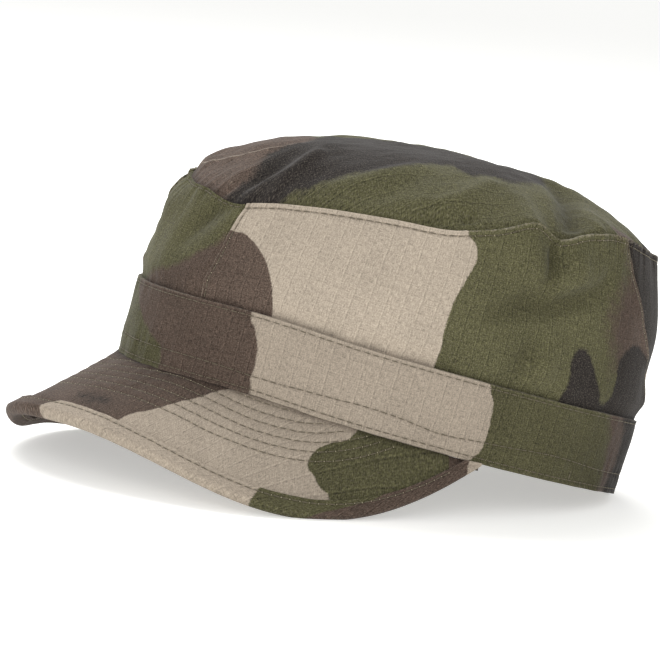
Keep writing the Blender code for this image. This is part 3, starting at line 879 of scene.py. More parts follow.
def wall_map(
    fold: Fold, turn: Array, share: Array, form: CapForm
) -> tuple[Array, tuple[float, float]]:
    """Flat places in metres on a wall that is cut open far from a fold, and the scale of the fold's path.

    Args:
        fold: The fold.
        turn: Turns round the cap.
        share: Shares of the wall's height.
        form: The cap's shape.

    Returns:
        The places and the scale.
    """
    scale = (math.radians(form.mean_radius), form.side_height - form.band_height)
    middle = (fold.path[0][0] + fold.path[-1][0]) / 2.0
    return pairs(middle + turn_between(turn, middle), share) * scale, scale


def front_seam(share: Array) -> Array:
    """Turn of the left front seam at a share of the wall's height."""
    return FRONT_SEAM + FRONT_LEAN * np.maximum(share, 0.0)


def rear_seam(share: Array) -> Array:
    """Turn of the left rear seam at a share of the wall's height."""
    return REAR_SEAM + REAR_LEAN * (1.0 - np.clip(share, 0.0, 1.0)) ** REAR_POWER


def with_fold_shade_and_tone(shade: Array, folds: Sequence[Fold], map_of: Callable[[Fold], tuple]) -> Array:
    """Shade of the cloth, no lighter than the painted shade, and the darker tone, that some of its folds
    give.

    Args:
        shade: Shade of the cloth without the folds' darkening.
        folds: The folds.
        map_of: Flat places in metres, and the scale of the path, for a fold.

    Returns:
        The shade with the folds' darkening.
    """
    for fold in folds:
        if fold.painted_shade_and_tone:
            shade = np.maximum(shade, fold.darkened(*map_of(fold)))
    return shade


def mirrored(seam: ShareMap, whole_turn: float = 0.0) -> ShareMap:
    """The same seam on the wearer's right, with a whole turn added where it is reached round the back."""
    return lambda share: whole_turn - seam(share)


# Finishes


def linear(colour: str) -> tuple[float, float, float, float]:
    """Linear colour for an sRGB hex value such as "#aabbcc".

    Args:
        colour: The hex value.

    Returns:
        Red, green, blue and an alpha of 1.
    """
    channels = [int(colour[i : i + 2], 16) / 255.0 for i in (1, 3, 5)]
    mixed = [c / 12.92 if c <= 0.04045 else ((c + 0.055) / 1.055) ** 2.4 for c in channels]
    return (*mixed, 1.0)


def set_inputs(node: bpy.types.Node, inputs: dict) -> None:
    """Gives a node's inputs their values, or links them to sockets.

    Args:
        node: The node.
        inputs: Value or socket for each name or number.
    """
    for key, value in inputs.items():
        if isinstance(value, Socket):
            node.id_data.links.new(value, node.inputs[key])
        else:
            node.inputs[key].default_value = value


def add_node(
    owner: bpy.types.Material | bpy.types.World,
    kind: str,
    inputs: dict | tuple = (),
    output: str | int = 0,
    **settings: object,
) -> Socket:
    """Adds a node with its settings and its links.

    Args:
        owner: Material, or the studio's light, that the node goes into.
        kind: Type of the node, without the words that every type starts with.
        inputs: Value or socket for each input, by name or number or in order.
        output: The output to hand on.
        **settings: Values of the node's own settings.

    Returns:
        The output socket.
    """
    node = owner.node_tree.nodes.new("ShaderNode" + kind)
    for name, value in settings.items():
        setattr(node, name, value)
    set_inputs(node, inputs if isinstance(inputs, dict) else dict(enumerate(inputs)))
    return node.outputs[output]


def new_material(name: str, roughness: float) -> tuple[bpy.types.Material, bpy.types.Node]:
    """A new material and its shader.

    Args:
        name: Its name.
        roughness: Roughness all over it.

    Returns:
        The material and its shader node.
    """
    material = bpy.data.materials.new(name)
    material.use_nodes = True
    shader = material.node_tree.nodes["Principled BSDF"]
    set_inputs(shader, {"Roughness": roughness})
    return material, shader


@dataclass(frozen=True)
class Weave:
    """Sockets of the threads, the ribs and the thin hollows beside the ribs, each from 0 to 1."""

    threads: Socket
    ribs: Socket
    beside: Socket


@dataclass(frozen=True)
class PrintedRipstop:
    """Washed cotton ripstop, woven with a grid of thicker threads and screen-printed in four colours.

    It gives the eye a flat, dry surface with hard-edged blobs of colour, a fine square grid of ribs about
    6 mm apart, small pale and dark flecks where single threads show, and paler, rubbed folds.
    """

    name: str
    tan: str = "#a5998a"
    green: str = "#504e37"
    brown: str = "#53463e"
    charcoal: str = "#2a2624"
    worn: str = "#b5aa99"
    # Tint that the shade attribute multiplies in: painted shade in seams, rows, creases and folds, under the
    # band's foot and over the peak, and darker tones on the band, the binding and the rear of the left side
    shade_and_dark_tone: tuple[float, float, float, float] = (0.30, 0.28, 0.27, 1.0)
    fade: float = 0.0
    rib_spacing: float = 5.7
    rib_width: float = 0.33
    rib_core: float = 0.25
    # Real threads lie 0.35 mm apart, too fine for the picture: they are drawn a little coarser
    thread_spacing: float = 0.42
    thread_stretch: float = 0.22
    swell_roughness: float = 0.55
    warp_share: float = 0.6
    thread_contrast: float = 1.4
    grain_contrast: float = 0.9
    dye_contrast: float = 0.3
    rib_contrast: float = 0.18
    beside_contrast: float = 0.20
    weft_share: float = 0.40
    beside_shift: float = 1.7
    # Irregular swells in a millimetre of cloth: 0.05 makes them 20 mm long, and 2.2 about half a millimetre
    dye_rate: float = 0.05
    grain_rate: float = 2.2
    pale_rate: float = 1.9
    rub_rate: float = 0.9
    rumple_rate: float = 0.30
    waver_rate: float = 0.22
    break_rate: float = 0.35
    # Factor and shift that make the ribs come and go, and how far a rubbed place breaks up into flecks
    breaks: tuple[float, float] = (1.6, -0.1)
    flecks: float = 1.6
    pale_range: tuple[float, float] = (0.50, 0.78)
    crest_line: tuple[float, float] = (0.60, 0.15)
    rubbed_range: tuple[float, float, float, float] = (0.30, 1.0, 0.0, 0.50)
    unworn: float = 0.01
    pale_threads: float = 0.16
    edge_softness: float = 0.26
    edge_waver: float = 0.8
    edge_nibble: float = 0.7
    roughness: float = 0.92
    sheen: float = 0.08
    sheen_roughness: float = 0.35
    specular: float = 0.10
    relief: float = 0.00022
    rib_relief: float = 0.25
    beside_relief: float = -0.15
    rumple_relief: float = 1.4

    def build(self) -> bpy.types.Material:
        """The material, which reads the cloth's own flat millimetres and the distances to its print.

        Returns:
            The finished material.
        """
        material, shader = new_material(self.name, self.roughness)
        add = partial(add_node, material)
        place = add("Attribute", output="Vector", attribute_name="cloth_mm")
        weave = self.woven(add, place)
        colour, covered = self.printed(add, place, weave.threads)
        colour = self.weathered(add, place, self.flecked(add, place, colour, covered, weave))
        look = {"Base Color": colour, "Normal": self.bumps(add, place, weave)}
        sheen = {"Sheen Weight": self.sheen, "Sheen Roughness": self.sheen_roughness}
        set_inputs(shader, look | sheen | {"Specular IOR Level": self.specular})
        return material

    def swells(
        self, add: AddNode, place: Socket, rate: float, detail: float, stretch: tuple = (1, 1, 1)
    ) -> Socket:
        """Irregular swells of the cloth, from 0 to 1.

        Args:
            add: Adds a node to the material.
            place: Flat millimetres of the cloth.
            rate: Swells in a millimetre.
            detail: Finer steps that break the swells up.
            stretch: Rates along and across the threads.

        Returns:
            The strength of the swells.
        """
        mapped = add("Mapping", {"Vector": place, "Scale": stretch})
        steps = {"Scale": rate, "Detail": detail, "Roughness": self.swell_roughness}
        return add("TexNoise", {"Vector": mapped} | steps)

    def woven(self, add: AddNode, place: Socket) -> Weave:
        """The uneven threads both ways, of which the upright ones show more, and the grid of ribs.

        Args:
            add: Adds a node to the material.
            place: Flat millimetres of the cloth.

        Returns:
            The threads, the ribs and the hollows beside them.
        """
        rate = 1.0 / self.thread_spacing
        warp = self.swells(add, place, rate, 1.0, (1.0, self.thread_stretch, 0.0))
        weft = self.swells(add, place, rate, 1.0, (self.thread_stretch, 1.0, 0.0))
        weft = add("Math", (weft, 1.0 - self.warp_share), operation="MULTIPLY")
        threads = add("Math", (warp, self.warp_share, weft), operation="MULTIPLY_ADD")
        half = self.rib_spacing / 2.0
        grids = []
        for shift in (0.0, self.rib_width * self.beside_shift):
            lines = []
            for axis in "XY":
                away = add("SeparateXYZ", (place,), axis)
                away = add("Math", (away, half, -half), operation="WRAP")
                away = add("Math", (away, shift), operation="SUBTRACT")
                away = add("Math", (away,), operation="ABSOLUTE")
                lines.append(add("MapRange", (away, self.rib_width, self.rib_width * self.rib_core)))
            lines[1] = add("Math", (lines[1], self.weft_share), operation="MULTIPLY")
            broken = self.swells(add, place, self.break_rate, 1.0)
            broken = add("Math", (broken, *self.breaks), operation="MULTIPLY_ADD")
            grid = add("Math", tuple(lines), operation="MAXIMUM")
            grids.append(add("Math", (grid, broken), operation="MULTIPLY"))
        return Weave(threads, *grids)

    def printed(self, add: AddNode, place: Socket, threads: Socket) -> tuple[Socket, Socket]:
        """The four colours, with edges that follow the threads, and how far they cover the tan.

        Args:
            add: Adds a node to the material.
            place: Flat millimetres of the cloth.
            threads: Strength of the threads.

        Returns:
            The colour, and the share that print covers.
        """
        waver = add("Math", (self.swells(add, place, self.waver_rate, 3.0), 0.5), operation="SUBTRACT")
        waver = add("Math", (waver, self.edge_waver), operation="MULTIPLY")
        nibble = add("Math", (threads, 0.5), operation="SUBTRACT")
        waver = add("Math", (nibble, self.edge_nibble, waver), operation="MULTIPLY_ADD")
        colour: object = linear(self.tan)
        covered: object = 0.0
        for layer, ink in ((GREEN, self.green), (BROWN, self.brown), (CHARCOAL, self.charcoal)):
            edge = add("Attribute", output="Fac", attribute_name=layer.value)
            edge = add("Math", (edge, waver), operation="ADD")
            inside = add("MapRange", (edge, self.edge_softness, -self.edge_softness))
            colour = add("Mix", {0: inside, 6: colour, 7: linear(ink)}, 2, data_type="RGBA")
            covered = add("Math", (inside, covered), operation="MAXIMUM")
        return colour, covered

    def flecked(
        self, add: AddNode, place: Socket, colour: Socket, covered: Socket, weave: Weave
    ) -> Socket:
        """Colour that varies with the weave and the dye, twice as much where the cloth is printed.

        Args:
            add: Adds a node to the material.
            place: Flat millimetres of the cloth.
            colour: The printed colours.
            covered: How far print covers the tan ground.
            weave: The threads, the ribs and the hollows beside them.

        Returns:
            The varied colour.
        """
        dye = self.swells(add, place, self.dye_rate, 3.0)
        grain = self.swells(add, place, self.grain_rate, 1.0)
        tone: object = 1.0 - (self.thread_contrast + self.grain_contrast + self.dye_contrast) / 2.0
        for part, contrast in (
            (weave.threads, self.thread_contrast),
            (grain, self.grain_contrast),
            (dye, self.dye_contrast),
            (weave.ribs, self.rib_contrast),
            (weave.beside, -self.beside_contrast),
        ):
            tone = add("Math", (part, contrast, tone), operation="MULTIPLY_ADD")
        for share in (1.0, covered):
            mixed = {0: share, 6: colour, 7: tone}
            colour = add("Mix", mixed, 2, data_type="RGBA", blend_type="MULTIPLY")
        pale = self.swells(add, place, self.pale_rate, 1.0)
        pale = add("MapRange", (pale, *self.pale_range, 0.0, self.pale_threads))
        return add("Mix", {0: pale, 6: colour, 7: linear(self.worn)}, 2, data_type="RGBA")

    def weathered(self, add: AddNode, place: Socket, colour: Socket) -> Socket:
        """Colour rubbed paler in flecks on folded edges, darker with painted shade down in seams and creases
        and with darker tones elsewhere, and faded on the reverse.

        Args:
            add: Adds a node to the material.
            place: Flat millimetres of the cloth.
            colour: The varied colour.

        Returns:
            The worn colour.
        """
        wear, crest, shade = (
            add("Attribute", output="Fac", attribute_name=name) for name in ("wear", "crest", "shade")
        )
        line = add("MapRange", (add("Math", (crest,), operation="ABSOLUTE"), *self.crest_line))
        wear = add("Math", (wear, line), operation="MULTIPLY")
        rub = add("Math", (self.swells(add, place, self.rub_rate, 3.0), 0.5), operation="SUBTRACT")
        rubbed = add("Math", (rub, self.flecks, wear), operation="MULTIPLY_ADD")
        worn = add("Math", (wear, self.unworn), operation="GREATER_THAN")
        rubbed = add("Math", (rubbed, worn), operation="MULTIPLY")
        rubbed = add("MapRange", (rubbed, *self.rubbed_range))
        for share, other, how in (
            (rubbed, linear(self.worn), "MIX"),
            (shade, self.shade_and_dark_tone, "MULTIPLY"),
            (self.fade, linear(self.worn), "MIX"),
        ):
            colour = add("Mix", {0: share, 6: colour, 7: other}, 2, data_type="RGBA", blend_type=how)
        return colour

    def bumps(self, add: AddNode, place: Socket, weave: Weave) -> Socket:
        """Relief of the weave, the ribs and small rumples.

        Args:
            add: Adds a node to the material.
            place: Flat millimetres of the cloth.
            weave: The threads, the ribs and the hollows beside them.

        Returns:
            The normal.
        """
        height = weave.threads
        rumples = self.swells(add, place, self.rumple_rate, 3.0)
        for part, strength in (
            (weave.ribs, self.rib_relief),
            (weave.beside, self.beside_relief),
            (rumples, self.rumple_relief),
        ):
            height = add("Math", (part, strength, height), operation="MULTIPLY_ADD")
        return add("Bump", {"Height": height, "Strength": 1.0, "Distance": self.relief})


@dataclass(frozen=True)
class SpunThread:
    """Spun polyester sewing thread, twisted from two strands.

    It gives the eye short raised dashes of dull olive brown, darker between the strands.
    """

    name: str = "olive_sewing_thread"
    colour: str = "#50493a"
    pale: str = "#6a614f"
    # Swells in a metre: strands 1.1 mm apart, coarser than the real 0.3 mm, which don't show
    twist: float = 900.0
    detail: float = 2.0
    relief: float = 0.0001
    roughness: float = 0.7

    def build(self) -> bpy.types.Material:
        """The material, which reads object coordinates.

        Returns:
            The finished material.
        """
        material, shader = new_material(self.name, self.roughness)
        add = partial(add_node, material)
        place = add("TexCoord", output="Object")
        twisted = add("TexNoise", {"Vector": place, "Scale": self.twist, "Detail": self.detail})
        mixed = {0: twisted, 6: linear(self.colour), 7: linear(self.pale)}
        colour = add("Mix", mixed, 2, data_type="RGBA")
        relief = add("Bump", {"Height": twisted, "Strength": 1.0, "Distance": self.relief})
        set_inputs(shader, {"Base Color": colour, "Normal": relief})
        return material


@dataclass(frozen=True)
class PalePlaster:
    """Matt white studio floor: a translucent board lit a little from below, with soft, pale shadows."""

    name: str = "pale_studio_floor"
    colour: str = "#eeeeec"
    glow: float = 0.52
    roughness: float = 0.95
    specular: float = 0.1

    def build(self) -> bpy.types.Material:
        """The material, which is the same all over.

        Returns:
            The finished material.
        """
        material, shader = new_material(self.name, self.roughness)
        colours = {"Base Color": linear(self.colour), "Emission Color": linear(self.colour)}
        matt = {"Specular IOR Level": self.specular, "Emission Strength": self.glow}
        set_inputs(shader, colours | matt)
        return material


@dataclass(frozen=True)
class Finishes:
    """The materials that the pieces share."""

    cloth: bpy.types.Material
    reverse: bpy.types.Material
    thread: bpy.types.Material
    lint: bpy.types.Material


# Cloth and stitches


@dataclass
class Laid:
    """Cloth laid over a form.

    It holds points in the cap's frame, flat millimetres, rubbing, shade, and the signed millimetres to the
    crest of a fold where the rubbing keeps to that crest.
    """

    points: Array
    flat: Array
    wear: Array
    shade: Array
    crest: Array | float = 0.0


@dataclass
class Stitching:
    """One row of stitches along a path of points, which lie on cloth with these normals."""

    points: Array
    normals: Array
    pitch: float = 0.0035
    length: float = 0.0027
    radius: float = 0.00021
    facets: int = 6
    rings: int = 4
    knot: float = 0.00026
    stray: float = 0.06
    raised: float = 0.35
    knot_raised: float = 0.15

    def sew(self, bm: bmesh.types.BMesh, seed: int) -> None:
        """Adds the row to a mesh: a small spindle for each stitch, and a speck of lint at each needle hole.

        Args:
            bm: Mesh that the row is added to.
            seed: Picks the small differences between stitches.
        """
        chance = np.random.default_rng(seed)
        reached = np.concatenate([[0.0], np.cumsum(np.linalg.norm(np.diff(self.points, axis=0), axis=1))])
        for i in range(int(reached[-1] / self.pitch)):
            stray = chance.uniform(-self.stray, self.stray)
            start = (i + 0.5 + stray) * self.pitch - self.length / 2.0
            first, last = (self.at(reached, self.points, start + d) for d in (0.0, self.length))
            normal = self.at(reached, self.normals, start + self.length / 2.0).normalized()
            along = last - first
            length = along.length
            along.normalize()
            side = along.cross(normal).normalized()
            middle = (first + last) / 2.0 + normal * self.radius * self.raised
            turned = Matrix((along, side, along.cross(side))).transposed().to_4x4()
            sized = Matrix.Diagonal((length / 2.0, self.radius, self.radius, 1.0))
            placed = Matrix.Translation(middle) @ turned @ sized @ Matrix.Rotation(math.pi / 2.0, 4, "Y")
            bmesh.ops.create_uvsphere(
                bm, u_segments=self.facets, v_segments=self.rings, radius=1.0, matrix=placed
            )
            hole = last + along * (self.pitch - self.length) / 2.0 + normal * self.knot * self.knot_raised
            speck = bmesh.ops.create_icosphere(
                bm, subdivisions=1, radius=self.knot, matrix=Matrix.Translation(hole)
            )
            for face in {face for vert in speck["verts"] for face in vert.link_faces}:
                face.material_index = 1

    @staticmethod
    def at(reached: Array, values: Array, distance: float) -> Vector:
        """Value of a row's table at a distance along it."""
        return Vector([np.interp(distance, reached, values[:, i]) for i in range(3)])


def along_surface(
    place: Callable[[Array, Array], Array], first: Array, second: Array, knot: float = Stitching.knot
) -> Stitching:
    """A row of stitches that runs over a surface of two coordinates.

    Args:
        place: The surface, with its outer side to the left of its second direction.
        first: First coordinate of each place in the row.
        second: Second coordinate of each place in the row.
        knot: Size of the specks of lint.

    Returns:
        The row.
    """
    step = 1e-3
    across = place(first + step, second) - place(first - step, second)
    up = place(first, second + step) - place(first, second - step)
    return Stitching(place(first, second), unit(np.cross(across, up)), knot=knot)


def add_object(name: str, data: bpy.types.ID) -> bpy.types.Object:
    """A new object in the scene.

    Args:
        name: Its name.
        data: Its mesh, lamp or camera.

    Returns:
        The object.
    """
    obj = bpy.data.objects.new(name, data)
    bpy.context.scene.collection.objects.link(obj)
    return obj


def mesh_object(
    name: str, bm: bmesh.types.BMesh, materials: Sequence[bpy.types.Material]
) -> bpy.types.Object:
    """A new object for a mesh, with materials in the order of its faces' numbers.

    Args:
        name: Its name.
        bm: Its mesh, which is used up.
        materials: Its materials.

    Returns:
        The object.
    """
    mesh = bpy.data.meshes.new(name)
    bm.to_mesh(mesh)
    bm.free()
    for material in materials:
        mesh.materials.append(material)
    return add_object(name, mesh)


@dataclass
class Workshop:
    """What every piece needs: the cap's form and the finishes."""

    form: CapForm
    finishes: Finishes
    weld: float = 0.00001
    sharp: float = 50.0
    rounding: float = 0.32
    edge_segments: int = 2

    def piece(
        self, name: str, bm: bmesh.types.BMesh, materials: Sequence[bpy.types.Material], slot: str
    ) -> bpy.types.Object:
        """Turns a mesh into a finished piece of the cap.

        Args:
            name: Name of the piece.
            bm: Its mesh, in the cap's own frame.
            materials: Its materials, in the order of its faces' numbers.
            slot: Not used.

        Returns:
            The object, which rides on the cap.
        """
        self.put_down(bm)
        obj = mesh_object(name, bm, materials)
        obj.data.shade_smooth()
        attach(obj, "root")
        LOG.info("%s: %d faces", name, len(obj.data.polygons))
        return obj

    def put_down(self, bm: bmesh.types.BMesh) -> None:
        """Moves a mesh from the cap's own frame to its place on the floor, flattened where it rests.

        Args:
            bm: The mesh.
        """
        points = self.form.set_down(np.array([vert.co[:] for vert in bm.verts]))
        points[:, 2] = np.maximum(points[:, 2], 0.0)
        for vert, point in zip(bm.verts, points):
            vert.co = point

    def thicken(self, bm: bmesh.types.BMesh, cloth: float, reverse_shows: bool) -> None:
        """Gives a layer of cloth its thickness and its reverse, and rounds its cut edges.

        Args:
            bm: The layer's outer skin.
            cloth: Thickness of the cloth.
            reverse_shows: Whether the unprinted side of the cloth is inside, or the cloth is doubled.
        """
        bmesh.ops.remove_doubles(bm, verts=bm.verts[:], dist=self.weld)
        bm.normal_update()
        outer = len(bm.verts)
        bmesh.ops.solidify(bm, geom=bm.faces[:], thickness=cloth)
        bm.verts.index_update()
        for face in bm.faces:
            face.material_index = int(reverse_shows and all(vert.index >= outer for vert in face.verts))
        bm.normal_update()
        steep = math.radians(self.sharp)
        bmesh.ops.bevel(
            bm,
            geom=[edge for edge in bm.edges if edge.calc_face_angle(0.0) > steep],
            offset=cloth * self.rounding,
            segments=self.edge_segments,
            profile=0.5,
            affect="EDGES",
            material=-1,
            clamp_overlap=True,
        )

    def sewn(self, name: str, slot: str, rows: Sequence[Stitching]) -> bpy.types.Object:
        """One piece for several rows of stitches, each sewn apart, because a large mesh grows slowly.

        Args:
            name: Name of the piece.
            slot: Handed on to the piece.
            rows: The rows.

        Returns:
            The object, which rides on the cap.
        """
        bm = bmesh.new()
        for i, row in enumerate(rows):
            part = bmesh.new()
            row.sew(part, seed=i)
            mesh = bpy.data.meshes.new(name + "_row")
            part.to_mesh(mesh)
            part.free()
            bm.from_mesh(mesh)
            bpy.data.meshes.remove(mesh)
        return self.piece(name, bm, (self.finishes.thread, self.finishes.lint), slot)


@dataclass(kw_only=True)
class ClothPart:
    """One sheet of cloth with its stitches, dressed over the solid of the same name."""

    shop: Workshop
    name: str
    chart: Chart
    columns: int
    rows: int
    cloth: float
    seed: int
    stitches_name: str = ""
    reverse_shows: bool = True

    @property
    def form(self) -> CapForm:
        """The cap's form."""
        return self.shop.form

    def coordinates(self, u: Array, v: Array) -> tuple[Array, Array]:
        """The part's own two coordinates, for two shares across its grid."""
        raise NotImplementedError

    def lay(self, first: Array, second: Array) -> Laid:
        """Where the cloth lies, for the part's two coordinates."""
        raise NotImplementedError

    def charted(self, first: Array, second: Array) -> Array:
        """Millimetres of the part's chart, for its two coordinates."""
        return pairs(first, second) * self.chart.scale

    def rows_of_stitches(self) -> list[Stitching]:
        """The rows of stitches in the cloth."""
        return []

    def flat_size(self) -> tuple[float, float]:
        """Width and height that the cloth was cut to."""
        raise NotImplementedError

    def build(self) -> None:
        """Lays the cloth, sews it, hides the solid of the same name, and logs how it was cut."""
        obj = self.weave()
        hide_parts(self.name)
        rows = self.rows_of_stitches()
        stitches = [self.shop.sewn(self.stitches_name, self.name + "_cloth", rows)] if rows else []
        flat = self.flat_size()
        area = min(sum(polygon.area for polygon in obj.data.polygons) / 2.0, flat[0] * flat[1])
        LOG.info("%s: cut from %.0f by %.0f mm, %.0f cm2", obj.name, flat[0] * MM, flat[1] * MM, area * 1e4)

    def weave(self) -> bpy.types.Object:
        """One layer of cloth with thickness, laid over the cap, which carries its print as attributes.

        Returns:
            The object, which rides on the cap.
        """
        bm = bmesh.new()
        bmesh.ops.create_grid(bm, x_segments=self.columns, y_segments=self.rows, size=0.5)
        u, v = (np.array([vert.co[:2] for vert in bm.verts]) + 0.5).T
        first, second = self.coordinates(u, v)
        laid = self.lay(first, second)
        edges = self.chart.distances(self.charted(first, second))
        shown = {colour.value: values for colour, values in edges.items()}
        shown |= {"wear": laid.wear, "shade": laid.shade, "crest": np.zeros(len(u)) + laid.crest}
        flat_layer = bm.verts.layers.float_vector.new("cloth_mm")
        layers = [(bm.verts.layers.float.new(layer), values) for layer, values in shown.items()]
        for i, vert in enumerate(bm.verts):
            vert.co = laid.points[i]
            vert[flat_layer] = (laid.flat[i, 0], laid.flat[i, 1], 0.0)
        for layer, values in layers:
            for vert, value in zip(bm.verts, values.tolist()):
                vert[layer] = value
        self.shop.thicken(bm, self.cloth, self.reverse_shows)
        materials = (self.shop.finishes.cloth, self.shop.finishes.reverse)
        return self.shop.piece(self.name + "_fabric", bm, materials, self.name + "_cloth")


# The walls of the crown


class Side(Enum):
    """Whether a wall panel laps over its neighbours at the upright seams or is lapped by them."""

    OVER = "over"
    UNDER = "under"


@dataclass(kw_only=True)
class WallPanel(ClothPart):
    """One of the four walls of the crown, between two upright seams."""

    first_seam: ShareMap
    last_seam: ShareMap
    side: Side
    rows: int = 96
    cloth: float = CapForm.crown_cloth
    rows_in_band: int = 12
    rows_high: float = 0.55
    columns_apart: float = 0.6
    top_stand: float = 0.0006
    typical_height: float = 0.050
    strip: float = 0.0016
    strip_proud: float = 0.00026
    strip_slope: tuple[float, float] = (-0.0003, 0.0006)
    strip_waver: Gathers = Gathers(0.45, 0.006, 11)
    strip_wear: Stripe = Stripe(0.55, 0.0008)
    top_row: float = 0.0021
    top_furrow: Stripe = Stripe(-0.00026, 0.00045)
    # Painted shade along the top row's furrow, and at the foot of the wall just above the band
    top_shade: Stripe = Stripe(0.45, 0.0004)
    foot_shade: Stripe = Stripe(0.35, 0.0015)
    knot: float = 0.00026
    fold_fade: float = 0.10
    top_gathers: tuple[Gathers, ...] = (
        Gathers(0.00042, 0.0085, 7, 0.0060),
        Gathers(0.000252, 0.0040, 8, 0.0060),
    )
    foot_gathers: Gathers = Gathers(0.00028, 0.011, 9, 0.0065)
    seam_gathers: Gathers = Gathers(0.00022, 0.008, 0, 0.006)
    rumples: Gathers = Gathers(0.00022, 0.024, 3)
    lap: float = 0.0016
    lap_row: float = 0.0016
    lap_furrow: Stripe = Stripe(-0.00026, 0.0005)
    lap_rise: float = 0.0005
    lap_rise_slope: tuple[float, float] = (-0.0005, 0.0060)
    lap_sink: float = 0.0009
    lap_sink_slope: tuple[float, float] = (0.0012, 0.0035)
    lap_wear: Stripe = Stripe(0.50, 0.0005)
    # Painted shade beside the edge of a lap, and on a lapped panel next to the lap
    lap_shade: Stripe = Stripe(0.50, 0.0005)
    lapped_shade: Stripe = Stripe(0.60, 0.0008)
    tucked_under: float = 0.0022
    # Places worked out along the top row and along an upright one, and how far up the latter is sewn
    top_places: int = 400
    lap_places: int = 120
    lap_sewn: float = 0.955
    worn_from: float = -0.02

    def share_of(self, v: Array) -> Array:
        """Share of the wall's height for a row, below 0 behind the band.

        Args:
            v: Rows, from 0 at the foot to 1 at the top.

        Returns:
            One share for each row.
        """
        foot = self.form.gap / self.form.band_height - 1.0
        in_band = self.rows_in_band / self.rows
        up = np.clip((v - in_band) / (1.0 - in_band), 0.0, 1.0)
        up = up + self.rows_high * up * (1.0 - up)
        stand = 1.0 + self.top_stand / self.typical_height
        return np.where(v < in_band, foot * (1.0 - v / in_band), up * stand)

    def allowance(self) -> float:
        """Turn by which the cloth goes on past each upright seam."""
        return (self.lap if self.side is Side.OVER else self.tucked_under) / METRES_PER_DEGREE

    def turns(self, u: Array, share: Array) -> Array:
        """Turns of the columns, which stand closer together near the seams."""
        first, last = self.first_seam(share) - self.allowance(), self.last_seam(share) + self.allowance()
        return first + (last - first) * (u - self.columns_apart * np.sin(math.tau * u) / math.tau)

    def coordinates(self, u: Array, v: Array) -> tuple[Array, Array]:
        """Turn and share of a place of the grid."""
        share = self.share_of(v)
        return self.turns(u, share), share

    def from_seams(self, turn: Array, share: Array) -> list[Array]:
        """Distances into the panel from its two upright seams, below 0 in the lap."""
        seams = ((self.first_seam, 1.0), (self.last_seam, -1.0))
        return [(turn - seam(share)) * inward * METRES_PER_DEGREE for seam, inward in seams]

    def seam_relief(self, away: Array, along: Array) -> Array:
        """How far the wall stands out near an upright seam.

        Args:
            away: Distance into the panel, below 0 in the lap.
            along: Distance along the seam.

        Returns:
            One height for each place.
        """
        pulled = self.seam_gathers.beside(along, np.abs(away), self.seed)
        if self.side is Side.UNDER:
            return pulled - self.lap_sink * falling(away, *self.lap_sink_slope)
        lifted = self.lap_rise * falling(away, *self.lap_rise_slope)
        return pulled + lifted + self.lap_furrow.at(away - self.lap_row + self.lap)

    def fold_relief(self, turn: Array, share: Array) -> Array:
        """How far the folds of the wall stand out, at turns and shares of its height."""
        total = sum(fold.height(*wall_map(fold, turn, share, self.form)) for fold in WALL_FOLDS)
        return total * smooth(np.minimum(share, 1.0 - share) / self.fold_fade)

    def place(self, turn: Array, share: Array) -> Array:
        """Points of the panel's outer skin.

        Args:
            turn: Turns round the cap.
            share: Shares of the wall's height.

        Returns:
            One point for each place.
        """
        height = self.form.wall_height(turn)
        from_foot = share * height
        edge = (1.0 - share) * height + self.top_stand
        along = self.form.along(turn)
        waver = 1.0 - self.strip_waver.rise + self.strip_waver.beside(along, 0.0, self.seed)
        strip = self.strip_proud * waver * falling(edge - self.strip, *self.strip_slope)
        proud = self.fold_relief(turn, np.clip(share, 0.0, 1.0)) + strip
        proud += self.top_furrow.at(edge - self.top_row)
        for gathers in self.top_gathers:
            proud += gathers.beside(along, np.maximum(edge - self.strip, 0.0), self.seed)
        proud += self.foot_gathers.beside(along, np.maximum(from_foot, 0.0), self.seed)
        proud += self.rumples.over(pairs(along, from_foot), self.seed)
        for away in self.from_seams(turn, share):
            proud += self.seam_relief(away, from_foot)
        shown = self.form.wall_point(turn, np.maximum(share, 0.0), proud)
        hidden = self.form.hidden_point(turn, 1.0 + np.minimum(share, 0.0))
        return np.where((share < 0.0)[:, None], hidden, shown)

    def lay(self, turn: Array, share: Array) -> Laid:
        """The panel's cloth, with its rubbed top edge and laps, and painted shade along its seams, at its
        foot, in its creases and over the front, with a darker tone on the rear of the left side.

        Args:
            turn: Turns round the cap.
            share: Shares of the wall's height.

        Returns:
            The cloth's points, wear, shade and creases.
        """
        height = self.form.wall_height(turn)
        edge = (1.0 - share) * height + self.top_stand
        wear = self.strip_wear.at(edge)
        shade = self.top_shade.at(edge - self.top_row) + self.foot_shade.at(share * height)
        shade = with_fold_shade_and_tone(shade, WALL_FOLDS, lambda fold: wall_map(fold, turn, share, self.form))
        for away in self.from_seams(turn, share):
            if self.side is Side.OVER:
                wear = np.maximum(wear, self.lap_wear.at(away + self.lap))
                shade = np.maximum(shade, self.lap_shade.at(away))
            else:
                shade = np.maximum(shade, self.lapped_shade.at(away - self.lap))
        flat = pairs(self.form.along(turn), share * height) * MM
        wear = wear * (share > self.worn_from)
        return Laid(self.place(turn, share), flat, wear, np.clip(shade, 0.0, 1.0))

    def rows_of_stitches(self) -> list[Stitching]:
        """The row under the top edge, and the upright rows where this panel laps over.

        Returns:
            The rows.
        """
        turn = self.turns(np.linspace(0.0, 1.0, self.top_places), np.ones(self.top_places))
        found = [(turn, 1.0 - (self.top_row - self.top_stand) / self.form.wall_height(turn))]
        if self.side is Side.OVER:
            share = np.linspace(0.0, self.lap_sewn, self.lap_places)
            found += [(seam(share), share) for seam in (self.first_seam, self.last_seam)]
        return [along_surface(self.place, *row, self.knot) for row in found]

